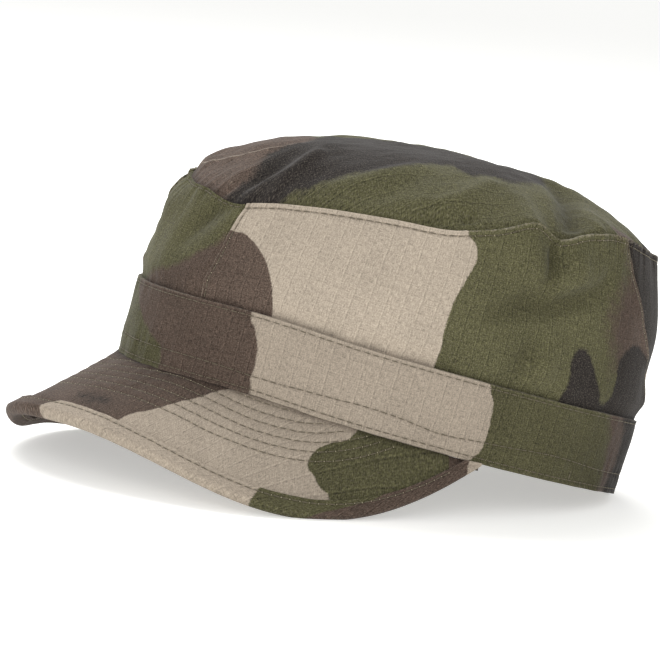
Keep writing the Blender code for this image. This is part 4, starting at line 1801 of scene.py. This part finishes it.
    def flat_size(self) -> tuple[float, float]:
        """Width with what goes on past the seams, and height with what the band hides.

        Returns:
            Width and height in metres.
        """
        share = np.linspace(0.0, 1.0, 20)
        first, last = self.first_seam(share), self.last_seam(share)
        width = math.radians(float((last - first).max()) + 2.0 * self.allowance()) * self.form.mean_radius
        height = float(self.form.wall_height(np.linspace(float(first.min()), float(last.max()), 60)).max())
        return width, height + self.form.band_height


def crown_walls(shop: Workshop) -> list[WallPanel]:
    """The four walls of the crown, of which the flat front has a slighter top seam.

    Args:
        shop: The workshop that makes them.

    Returns:
        The walls, in the order in which they are made.
    """
    slight = {
        "top_stand": 0.0002,
        "strip_proud": 0.0001,
        "strip_wear": Stripe(0.15, 0.0008),
        "top_row": 0.0012,
        "knot": 0.00012,
    }
    right_front = mirrored(front_seam)
    walls = (
        ("front_panel", right_front, front_seam, FRONT_CHART, Side.UNDER, 110, 11, slight),
        ("side_panel_left", front_seam, rear_seam, LEFT_CHART, Side.OVER, 260, 23, {}),
        ("side_panel_right", mirrored(rear_seam), right_front, RIGHT_CHART, Side.OVER, 260, 37, {}),
        ("back_panel", rear_seam, mirrored(rear_seam, 360.0), BACK_CHART, Side.UNDER, 170, 41, {}),
    )
    return [
        WallPanel(
            shop=shop,
            name=name,
            stitches_name=name + "_stitches",
            first_seam=first,
            last_seam=last,
            chart=chart,
            side=side,
            columns=columns,
            seed=seed,
            **sizes,
        )
        for name, first, last, chart, side, columns, seed, sizes in walls
    ]


# The top


@dataclass(kw_only=True)
class CrownTop(ClothPart):
    """The puffed top, gathered into the walls."""

    name: str = "crown_top"
    chart: Chart = TOP_CHART
    columns: int = 200
    rows: int = 200
    cloth: float = CapForm.crown_cloth
    seed: int = 5
    inset: float = 0.0005
    sunk: float = 0.0016
    front_sunk: float = 0.0005
    front_slope: tuple[float, float] = (18.0, 10.0)
    sunk_slope: tuple[float, float] = (0.0, 0.0040)
    gathered_from: float = -0.0006
    gathered_over: float = 0.002
    fold_fade: float = 0.10
    crease_fade: float = 0.03
    typical_radius: float = 0.087
    shade_radius: float = 0.085
    gathers: tuple[Gathers, ...] = (
        Gathers(0.00042, 0.0105, 0, 0.009),
        Gathers(0.00021, 0.0045, 1, 0.009),
    )
    rumples: tuple[Gathers, ...] = (Gathers(0.00028, 0.030, 2), Gathers(0.00012, 0.009, 3))
    # Painted shade along the seam, under the walls' top strips
    seam_shade: Stripe = Stripe(0.65, 0.0012)
    rubbed_width: float = 0.0030
    far: float = 0.060
    puff_share: float = 1.22

    @property
    def half_sizes(self) -> tuple[float, float]:
        """Metres that one unit of a fold's two coordinates takes up."""
        return self.form.top_half_width, self.form.top_half_length

    def place(self, turn: Array, reach: Array) -> Array:
        """Points of the top's outer skin.

        Args:
            turn: Turns round the cap.
            reach: Shares of the way out.

        Returns:
            One point for each place.
        """
        form = self.form
        edge = form.seam_point(turn)
        radius = np.linalg.norm(edge[:, :2], axis=1)
        spread = reach * (1.0 - self.inset / radius)
        x = edge[:, 0] * spread
        y = form.top_setback + (edge[:, 1] - form.top_setback) * spread
        here = pairs(x, -y)
        inward = (1.0 - reach) * radius
        along = np.radians(turn) * self.typical_radius
        z = form.top_height(turn, np.minimum(reach, 1.0))
        for folds, fade in ((TOP_FOLDS, self.fold_fade), (TOP_CREASES, self.crease_fade)):
            z += sum(fold.height(here, self.half_sizes) for fold in folds) * smooth((1.0 - reach) / fade)
        gathered = smooth((inward - self.gathered_from) / self.gathered_over)
        for gathers in self.gathers:
            z += gathers.beside(along, inward, self.seed) * gathered
        z += sum(rumple.over(here, self.seed) for rumple in self.rumples)
        at_front = falling(np.abs(turn), *self.front_slope)
        sunk = self.sunk + (self.front_sunk - self.sunk) * at_front
        return np.stack([x, y, z - sunk * falling(inward, *self.sunk_slope)], -1)

    def coordinates(self, u: Array, v: Array) -> tuple[Array, Array]:
        """Turn and reach of a place of the square grid, whose rings become rings of the top.

        Args:
            u: Columns, from 0 to 1.
            v: Rows, from 0 to 1.

        Returns:
            Turns and reaches.
        """
        a, b = 2.0 * u - 1.0, 2.0 * v - 1.0
        ring = np.maximum(np.abs(a), np.abs(b))
        wide = np.abs(a) > np.abs(b)
        safe_a, safe_b = np.where(wide, a, 1.0), np.where(wide | (b == 0.0), 1.0, b)
        sign = np.sign(np.where(wide, a, b))
        angle = np.where(wide, math.pi / 4.0 * b / safe_a, math.pi / 2.0 - math.pi / 4.0 * a / safe_b)
        turn = np.degrees(np.arctan2(sign * np.cos(angle), -sign * np.sin(angle)))
        return turn, 1.5 * ring - 0.5 * ring**2

    def lay(self, turn: Array, reach: Array) -> Laid:
        """The top's cloth, with its rubbed creases, and painted shade in its folds and along its seam.

        Args:
            turn: Turns round the cap.
            reach: Shares of the way out.

        Returns:
            The cloth's points, wear, shade and creases.
        """
        points = self.place(turn, reach)
        here = pairs(points[:, 0], -points[:, 1])
        wear, crest = np.zeros(len(here)), np.full(len(here), self.far)
        for fold in TOP_CREASES:
            if fold.rubbed:
                away, taper = fold.nearest(here, self.half_sizes)
                closer = np.abs(away) < np.abs(crest)
                crest = np.where(closer, away, crest)
                wear = np.where(closer, fold.rubbed * taper * bump(away, self.rubbed_width), wear)
        shade = self.seam_shade.at((1.0 - reach) * self.shade_radius)
        shade = with_fold_shade_and_tone(shade, TOP_FOLDS, lambda fold: (here, self.half_sizes))
        return Laid(points, here * MM, wear, shade, crest * MM)

    def charted(self, turn: Array, reach: Array) -> Array:
        """Flat millimetres across and forward."""
        points = self.place(turn, reach)
        return pairs(points[:, 0], -points[:, 1]) * MM

    def flat_size(self) -> tuple[float, float]:
        """The oval's two sizes, with cloth for the puff."""
        return tuple(2.0 * half * self.puff_share for half in self.half_sizes)


# The band


@dataclass(kw_only=True)
class Band(ClothPart):
    """The double band round the foot of the crown."""

    name: str = "band"
    stitches_name: str = "band_stitches"
    chart: Chart = BAND_CHART
    columns: int = 700
    rows: int = 46
    cloth: float = CapForm.band_cloth
    seed: int = 61
    edge_row: float = 0.0015
    edge_furrow: Stripe = Stripe(-0.00020, 0.0005)
    lower_furrow: Stripe = Stripe(-0.00024, 0.0006)
    lower_row_share: float = 0.255
    lower_row_waves: tuple[Wave, ...] = (
        Wave(42, 10, -0.035),
        Wave(68, 10, 0.040),
        Wave(84, 6, -0.035),
        Wave(113, 14, 0.060),
        Wave(-60, 16, -0.030),
        Wave(-110, 20, 0.035),
    )
    top_gathers: Gathers = Gathers(0.00020, 0.010, 0, 0.006)
    foot_gathers: Gathers = Gathers(0.00022, 0.009, 1, 0.006)
    row_gathers: Gathers = Gathers(0.00020, 0.007, 2, 0.004)
    rumples: Gathers = Gathers(0.00022, 0.022, 3)
    lean: float = 0.0006
    lean_from: float = -20.0
    lean_over: float = 200.0
    tack_turn: float = 120.5
    tack_shares: tuple[float, float] = (0.05, 0.24)
    tack_places: int = 20
    sewn_to: float = 179.5
    row_places: int = 1400
    knot: float = 0.00014
    top_wear: Stripe = Stripe(0.50, 0.0006)
    foot_wear: Stripe = Stripe(0.35, 0.0006)
    # Painted shade along the rows of stitches, and darker at the join
    row_shade: Stripe = Stripe(0.26, 0.0004)
    join_shade: Stripe = Stripe(0.7, 0.0006)
    # Darker all over, and more so towards the rear
    even_darkening: float = 0.26
    rear_darkening: float = 0.20
    rear_from: float = 116.0
    rear_over: float = 16.0
    foot_drop: float = 0.0004
    seam_allowances: tuple[float, float] = (1.02, 1.05)

    def lower_row(self, turn: Array) -> Array:
        """Share of the band's height at which its wandering lower row of stitches runs."""
        return self.lower_row_share + sum(wave.at(turn) for wave in self.lower_row_waves)

    def from_rows(self, turn: Array, share: Array) -> list[Array]:
        """Distances from the rows of stitches at the top edge, at the foot and in between.

        Args:
            turn: Turns round the cap.
            share: Shares of the band's height.

        Returns:
            Distances from the three rows.
        """
        tall = self.form.band_height
        edges = [(1.0 - share) * tall - self.edge_row, share * tall - self.edge_row]
        return [*edges, (share - self.lower_row(turn)) * tall]

    def place(self, turn: Array, share: Array) -> Array:
        """Points of the band's outer skin.

        Args:
            turn: Turns round the cap.
            share: Shares of the band's height.

        Returns:
            One point for each place.
        """
        tall, along = self.form.band_height, self.form.along(turn)
        *edge_rows, lower_row = self.from_rows(turn, share)
        proud = sum(self.edge_furrow.at(away) for away in edge_rows) + self.lower_furrow.at(lower_row)
        proud += self.top_gathers.beside(along, (1.0 - share) * tall, self.seed)
        proud += self.foot_gathers.beside(along, share * tall, self.seed)
        proud += self.row_gathers.beside(along, np.abs(lower_row), self.seed)
        proud += self.rumples.over(pairs(along, share * tall), self.seed)
        leaning = smooth((turn - self.lean_from) / self.lean_over) * np.sin(np.radians(turn * 2.0))
        proud += self.lean * leaning * share
        points = self.form.band_point(turn, share)
        return points + self.form.outward(points) * proud[:, None]

    def coordinates(self, u: Array, v: Array) -> tuple[Array, Array]:
        """Turn and share of a place of the grid, whose foot comes down onto the peak."""
        drop = self.foot_drop / self.form.band_height
        return 360.0 * u - 180.0, v * (1.0 + drop) - drop

    def lay(self, turn: Array, share: Array) -> Laid:
        """The band's cloth, with its rubbed edges, painted shade along its rows, and darker at its join, all
        over and towards its rear.

        Args:
            turn: Turns round the cap.
            share: Shares of the band's height.

        Returns:
            The cloth's points, wear, shade and creases.
        """
        tall = self.form.band_height
        wear = self.top_wear.at((1.0 - share) * tall) + self.foot_wear.at(share * tall)
        shade = self.even_darkening + sum(self.row_shade.at(away) for away in self.from_rows(turn, share))
        shade = np.maximum(shade, self.join_shade.at((180.0 - np.abs(turn)) * METRES_PER_DEGREE))
        shade += self.rear_darkening * smooth((turn - self.rear_from) / self.rear_over)
        return Laid(self.place(turn, share), pairs(self.form.along(turn), share * tall) * MM, wear, shade)

    def rows_of_stitches(self) -> list[Stitching]:
        """Rows along both edges, the wandering row between them, and the short upright tack.

        Returns:
            The rows.
        """
        turn = np.linspace(-self.sewn_to, self.sewn_to, self.row_places)
        edge = self.edge_row / self.form.band_height
        shares = (np.full_like(turn, 1.0 - edge), np.full_like(turn, edge), self.lower_row(turn))
        tack = np.linspace(*self.tack_shares, self.tack_places)
        found = [*((turn, share) for share in shares), (np.full_like(tack, self.tack_turn), tack)]
        return [along_surface(self.place, *row, self.knot) for row in found]

    def flat_size(self) -> tuple[float, float]:
        """The way round the rim and the height, with cloth for the seams."""
        round_rim, tall = math.tau * self.form.mean_radius, self.form.band_height
        return round_rim * self.seam_allowances[0], tall * self.seam_allowances[1]


# The peak

# Half the length of the peak's outer edge, to which its stations are stretched
HALF_EDGE = 0.15


@dataclass(kw_only=True)
class Peak(ClothPart):
    """The stiffened peak, quilted with nested rows of stitches."""

    name: str = "peak"
    stitches_name: str = "peak_stitches"
    chart: Chart = PEAK_CHART
    columns: int = 340
    rows: int = 112
    cloth: float = CapForm.peak_cloth
    seed: int = 71
    reverse_shows: bool = False
    first_row: float = 0.0213
    row_pitch: float = 0.0043
    rows_sewn: int = 6
    sewn_to: float = 0.98
    row_places: int = 900
    short_of_band: float = 0.0006
    row_drift: float = 0.0120
    drift_from: float = 0.40
    row_furrow: Stripe = Stripe(-0.00018, 0.0005)
    swell: float = 0.00012
    gathers: Gathers = Gathers(0.00014, 0.006, 0)
    rumples: Gathers = Gathers(0.00016, 0.020, 1)
    start: float = 0.0012
    start_share: float = 0.3
    tucked_in: float = 0.0030
    tucked_dip: float = 0.1
    # Millimetres of cloth that its curve takes up across, and how much longer it is forward than it looks
    curve_mm: float = 20.0
    slope_share: float = 1.25
    # Painted shade along the rows, under the band's foot, evenly all over the peak, and fading out from the
    # band
    row_shade: Stripe = Stripe(0.24, 0.0004)
    root_shade: Stripe = Stripe(0.50, 0.0018)
    even_darkening: float = 0.12
    root_painted_shade: float = 0.22
    root_shade_fade: float = 0.014
    cut: tuple[float, float] = (0.260, 0.125)

    def from_rows(self, station: Array, inward: Array) -> list[Array]:
        """Distances in from each row of stitches, outermost row first.

        Args:
            station: Places along the peak, from -1 to 1.
            inward: Distances in from the edge.

        Returns:
            Distances from each row.
        """
        drift = self.row_drift * np.maximum(np.abs(station) - self.drift_from, 0.0)
        from_first = inward - self.first_row - drift
        return [from_first - number * self.row_pitch for number in range(self.rows_sewn)]

    def relief(self, station: Array, inward: Array) -> Array:
        """How far the cloth stands off the smooth peak, quilted between its rows.

        Args:
            station: Places along the peak, from -1 to 1.
            inward: Distances in from the edge.

        Returns:
            One height for each place.
        """
        from_rows = self.from_rows(station, inward)
        phase = from_rows[0] / self.row_pitch
        pillow = self.swell * np.abs(np.sin(math.pi * phase))
        along = station * HALF_EDGE
        pulled = self.gathers.beside(along, 0.0, self.seed)
        furrows = sum(self.row_furrow.at(away) for away in from_rows)
        rumples = self.rumples.over(pairs(along, inward), self.seed)
        return (pillow + pulled) * smooth(phase + 0.5) + furrows + rumples

    def place(self, station: Array, inward: Array) -> Array:
        """Points of the peak's upper skin.

        Past the band's foot the cloth goes on level, tucked under the band.

        Args:
            station: Places along the peak, from -1 to 1.
            inward: Distances in from the edge.

        Returns:
            One point for each place.
        """
        form = self.form
        width = form.peak_ruling(station)[0]
        lift = form.peak_cloth / 2.0 + self.relief(station, inward)
        points = form.peak_point(station, np.minimum(inward, width))
        points = points + form.peak_normal(station) * lift[:, None]
        tucked = np.maximum(inward - width, 0.0)[:, None]
        return points - (form.peak_foot(station)[1] + np.array([0.0, 0.0, self.tucked_dip])) * tucked

    def coordinates(self, u: Array, v: Array) -> tuple[Array, Array]:
        """Station and distance in from the edge for a place of the grid.

        Args:
            u: Columns, from 0 to 1.
            v: Rows, from 0 to 1.

        Returns:
            Stations and distances.
        """
        station = 2.0 * u - 1.0
        width = self.form.peak_ruling(station)[0]
        start = np.minimum(self.start, width * self.start_share)
        return station, start + (width + self.tucked_in - start) * v

    def lay(self, station: Array, inward: Array) -> Laid:
        """The peak's cloth, with its threads square to the cap's front, and painted shade along its rows,
        near the band and all over.

        Args:
            station: Places along the peak, from -1 to 1.
            inward: Distances in from the edge.

        Returns:
            The cloth's points, wear, shade and creases.
        """
        points = self.place(station, inward)
        curved = self.curve_mm * np.sin(np.radians(station * self.form.peak_turn))
        flat = pairs(points[:, 0] * MM + curved, -points[:, 1] * MM * self.slope_share)
        from_band = np.maximum(self.form.peak_ruling(station)[0] - inward, 0.0)
        shade = sum(self.row_shade.at(away) for away in self.from_rows(station, inward))
        shade = np.maximum(shade, self.root_shade.at(from_band)) + self.even_darkening
        shade += self.root_painted_shade * np.exp(-from_band / self.root_shade_fade)
        return Laid(points, flat, np.zeros_like(station), np.clip(shade, 0.0, 1.0))

    def charted(self, station: Array, inward: Array) -> Array:
        """Stations and distances in, in the chart's millimetres."""
        return pairs(station * self.chart.scale[0], inward * MM)

    def rows_of_stitches(self) -> list[Stitching]:
        """The nested rows, each of which ends where it meets the band.

        Returns:
            The rows.
        """
        station = np.linspace(-self.sewn_to, self.sewn_to, self.row_places)
        width = self.form.peak_ruling(station)[0]
        found = []
        for before in self.from_rows(station, np.zeros_like(station)):
            kept = -before < width - self.short_of_band
            found.append(along_surface(self.place, station[kept], -before[kept]))
        return found

    def flat_size(self) -> tuple[float, float]:
        """The rolled-out width, and the depth with what is tucked under the band."""
        return self.cut


@dataclass(kw_only=True)
class PeakBinding(ClothPart):
    """The strip folded round the peak's outer edge."""

    name: str = "peak_binding"
    stitches_name: str = "binding_stitches"
    chart: Chart = EDGE_CHART
    columns: int = 360
    rows: int = 34
    cloth: float = 0.0008
    seed: int = 83
    reverse_shows: bool = False
    width: float = 0.0068
    width_share: float = 0.96
    nose: float = 0.0012
    nose_share: float = 0.20
    stitch_in: float = 0.0016
    sewn_to: float = 0.93
    row_places: int = 900
    row_furrow: Stripe = Stripe(-0.00022, 0.0005)
    lip: Stripe = Stripe(0.00014, 0.0007)
    gathers: Gathers = Gathers(0.00014, 0.006, 0, 0.004)
    full_below: Stripe = Stripe(0.0010, 0.26)
    fullest: float = 0.16
    nose_wear: Stripe = Stripe(0.15, 0.16)
    lip_wear: Stripe = Stripe(0.30, 0.0005)
    # Painted shade along the row, and darker all over
    row_shade: Stripe = Stripe(0.26, 0.0004)
    even_darkening: float = 0.18
    cut: tuple[float, float] = (0.347, 0.0187)

    @property
    def half_height(self) -> float:
        """Height of the binding's outer skin off the middle of the peak."""
        return self.form.peak_cloth / 2.0 + self.form.gap + self.cloth

    def reach(self, station: Array) -> Array:
        """How far in from the edge the binding comes."""
        return np.minimum(self.width, self.form.peak_ruling(station)[0] * self.width_share)

    def run(self, station: Array, around: Array) -> tuple[Array, Array]:
        """Share of the way from the nose to a lip, and the distance left to that lip.

        Args:
            station: Places along the peak, from -1 to 1.
            around: Shares of the way round the fold.

        Returns:
            The shares and the distances.
        """
        side = np.abs(around - 0.5) / 0.5
        run = np.clip((side - self.nose_share) / (1.0 - self.nose_share), 0.0, 1.0)
        return run, (1.0 - run) * (self.reach(station) - self.nose)

    def place(self, station: Array, around: Array) -> Array:
        """Points of the binding's outer skin, from the lower lip round to the upper one.

        Args:
            station: Places along the peak, from -1 to 1.
            around: Shares of the way round the fold.

        Returns:
            One point for each place.
        """
        half_nose = self.nose_share / 2.0
        angle = math.pi * np.clip((around - 0.5 + half_nose) / self.nose_share, 0.0, 1.0)
        run, from_lip = self.run(station, around)
        inward = self.nose * (1.0 - np.sin(angle)) + (self.reach(station) - self.nose) * run
        height = -np.cos(angle) * self.half_height
        relief = self.row_furrow.at(from_lip - self.stitch_in) + self.lip.at(from_lip)
        relief += self.gathers.beside(station * HALF_EDGE, from_lip, self.seed)
        height = height + np.sign(height) * relief
        fuller = self.full_below.at(station - self.fullest) * np.abs(np.cos(angle))
        height = np.where(around < 0.5, height - fuller, height)
        return self.form.peak_point(station, inward) + self.form.peak_normal(station) * height[:, None]

    def millimetres_round(self, station: Array, around: Array) -> Array:
        """Distance round the fold from the upper lip."""
        return (1.0 - around) * 2.0 * (self.reach(station) + self.half_height) * MM

    def coordinates(self, u: Array, v: Array) -> tuple[Array, Array]:
        """Station and share of the way round for a place of the grid."""
        return 2.0 * u - 1.0, v

    def lay(self, station: Array, around: Array) -> Laid:
        """The binding's cloth, cut across the threads so that it follows the curve, with rubbed edges,
        painted shade along its row, and darker all over.

        Args:
            station: Places along the peak, from -1 to 1.
            around: Shares of the way round the fold.

        Returns:
            The cloth's points, wear, shade and creases.
        """
        across, along = self.millimetres_round(station, around), station * HALF_EDGE * MM
        flat = pairs(along + across, along - across) * math.sqrt(0.5)
        from_lip = self.run(station, around)[1]
        wear = self.nose_wear.at((around - 0.5) / 0.5) + self.lip_wear.at(from_lip)
        shade = self.even_darkening + self.row_shade.at(from_lip - self.stitch_in)
        return Laid(self.place(station, around), flat, wear, shade)

    def charted(self, station: Array, around: Array) -> Array:
        """Stations and distances round the fold, in the chart's millimetres."""
        return pairs(station * self.chart.scale[0], self.millimetres_round(station, around))

    def rows_of_stitches(self) -> list[Stitching]:
        """One row near the lip on the upper side, and the same row where it comes out below.

        Returns:
            The rows.
        """
        station = np.linspace(-self.sewn_to, self.sewn_to, self.row_places)
        run = 1.0 - self.stitch_in / (self.reach(station) - self.nose)
        side = self.nose_share + (1.0 - self.nose_share) * run
        return [along_surface(self.place, station, 0.5 + half * side) for half in (0.5, -0.5)]

    def flat_size(self) -> tuple[float, float]:
        """The edge's length by the way round the fold."""
        return self.cut


# The studio


@dataclass(frozen=True)
class Lamp:
    """A square soft lamp that faces the cap, with degrees round from the camera and above level."""

    name: str
    turn: float
    elevation: float
    size: float
    power: float


def toward(azimuth: float, elevation: float) -> Vector:
    """Direction from the cap to a viewer, at degrees round it and above level."""
    az, el = math.radians(azimuth), math.radians(elevation)
    return Vector((math.sin(az) * math.cos(el), -math.cos(az) * math.cos(el), math.sin(el)))


@dataclass
class Studio:
    """The floor, the soft light and the camera at the photograph's angle."""

    form: CapForm
    azimuth: float = 66.18
    elevation: float = 9.23
    distance: float = 1.7016
    pitch: float = 17.9
    aim_height: float = 0.04
    pixels: float = 660.0
    centre: tuple[float, float] = (369.07, 315.98)
    pixels_per_metre: float = 2640.0
    sensor: float = 36.0
    floor_size: float = 8.0
    lamp_distance: float = 2.0
    lamp_aim: float = 0.06
    lamps: tuple[Lamp, ...] = (
        Lamp("front_lamp", -8.0, 16.0, 1.4, 15.5),
        Lamp("back_lamp", 200.0, 54.0, 1.4, 41.0),
    )
    horizon: float = 0.92
    zenith: float = 0.45
    sky_heights: tuple[float, float] = (0.15, 0.85)

    def add_camera(self) -> None:
        """The camera, which sees the resting cap as the photograph does."""
        back = np.array(toward(self.azimuth, self.elevation))
        up = np.array(toward(self.azimuth, self.elevation + 90.0))
        lean = self.form.rest_pitch - self.pitch
        place = pitched(back * self.distance + np.array([0.0, 0.0, self.aim_height]), lean)
        place = place + np.array(self.form.rest_shift)
        axes = pitched(np.array([np.cross(up, back), up, back]), lean)
        data = bpy.data.cameras.new("camera")
        data.sensor_width = self.sensor
        data.lens = self.pixels_per_metre * self.distance * self.sensor / self.pixels
        data.shift_x = 0.5 - self.centre[0] / self.pixels
        data.shift_y = self.centre[1] / self.pixels - 0.5
        data.clip_end = 50.0
        camera = add_object("camera", data)
        camera.matrix_world = Matrix.Translation(Vector(place)) @ Matrix(axes.T.tolist()).to_4x4()
        bpy.context.scene.camera = camera

    def add_lamps(self) -> None:
        """The soft lamps, which the camera doesn't see."""
        for lamp in self.lamps:
            data = bpy.data.lights.new(lamp.name, "AREA")
            data.shape, data.size, data.energy = "SQUARE", lamp.size, lamp.power
            direction = toward(self.azimuth + lamp.turn, lamp.elevation)
            obj = add_object(lamp.name, data)
            obj.location = direction * self.lamp_distance + Vector((0.0, 0.0, self.lamp_aim))
            obj.rotation_euler = direction.to_track_quat("Z", "Y").to_euler()
            obj.visible_camera = False

    def add_floor(self) -> None:
        """The pale floor."""
        bm = bmesh.new()
        bmesh.ops.create_grid(bm, x_segments=8, y_segments=8, size=self.floor_size)
        mesh_object("studio_floor", bm, (PalePlaster().build(),))

    def add_daylight(self) -> None:
        """White light from all round, as from a light tent: strongest from the sides, weaker from above."""
        world = bpy.data.worlds.new("studio_light")
        world.use_nodes = True
        height = add_node(world, "SeparateXYZ", (add_node(world, "TexCoord", output="Generated"),), "Z")
        steps = (height, *self.sky_heights, self.horizon, self.zenith)
        strength = add_node(world, "MapRange", steps, interpolation_type="SMOOTHSTEP")
        background = world.node_tree.nodes["Background"]
        set_inputs(background, {"Color": (1.0, 1.0, 1.0, 1.0), "Strength": strength})
        bpy.context.scene.world = world

    def build(self) -> None:
        """Sets everything up."""
        self.add_camera()
        self.add_floor()
        self.add_daylight()
        self.add_lamps()
        # Plain sRGB, in which a white background stays white and the cloth keeps its measured colours
        bpy.context.scene.view_settings.view_transform = "Standard"


def main() -> None:
    """Builds the cap and its studio."""
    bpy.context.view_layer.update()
    finishes = Finishes(
        cloth=PrintedRipstop("printed_cotton_ripstop").build(),
        reverse=PrintedRipstop("printed_cotton_ripstop_reverse", fade=0.30).build(),
        thread=SpunThread().build(),
        lint=SpunThread("pale_needle_lint", "#8a806c", "#a59b84").build(),
    )
    shop = Workshop(CapForm(), finishes)
    Studio(shop.form).build()
    others = [kind(shop=shop) for kind in (CrownTop, Band, Peak, PeakBinding)]
    for part in crown_walls(shop) + others:
        part.build()


if __name__ == "__main__":
    logging.basicConfig(level=logging.INFO, format="%(message)s")
    main()
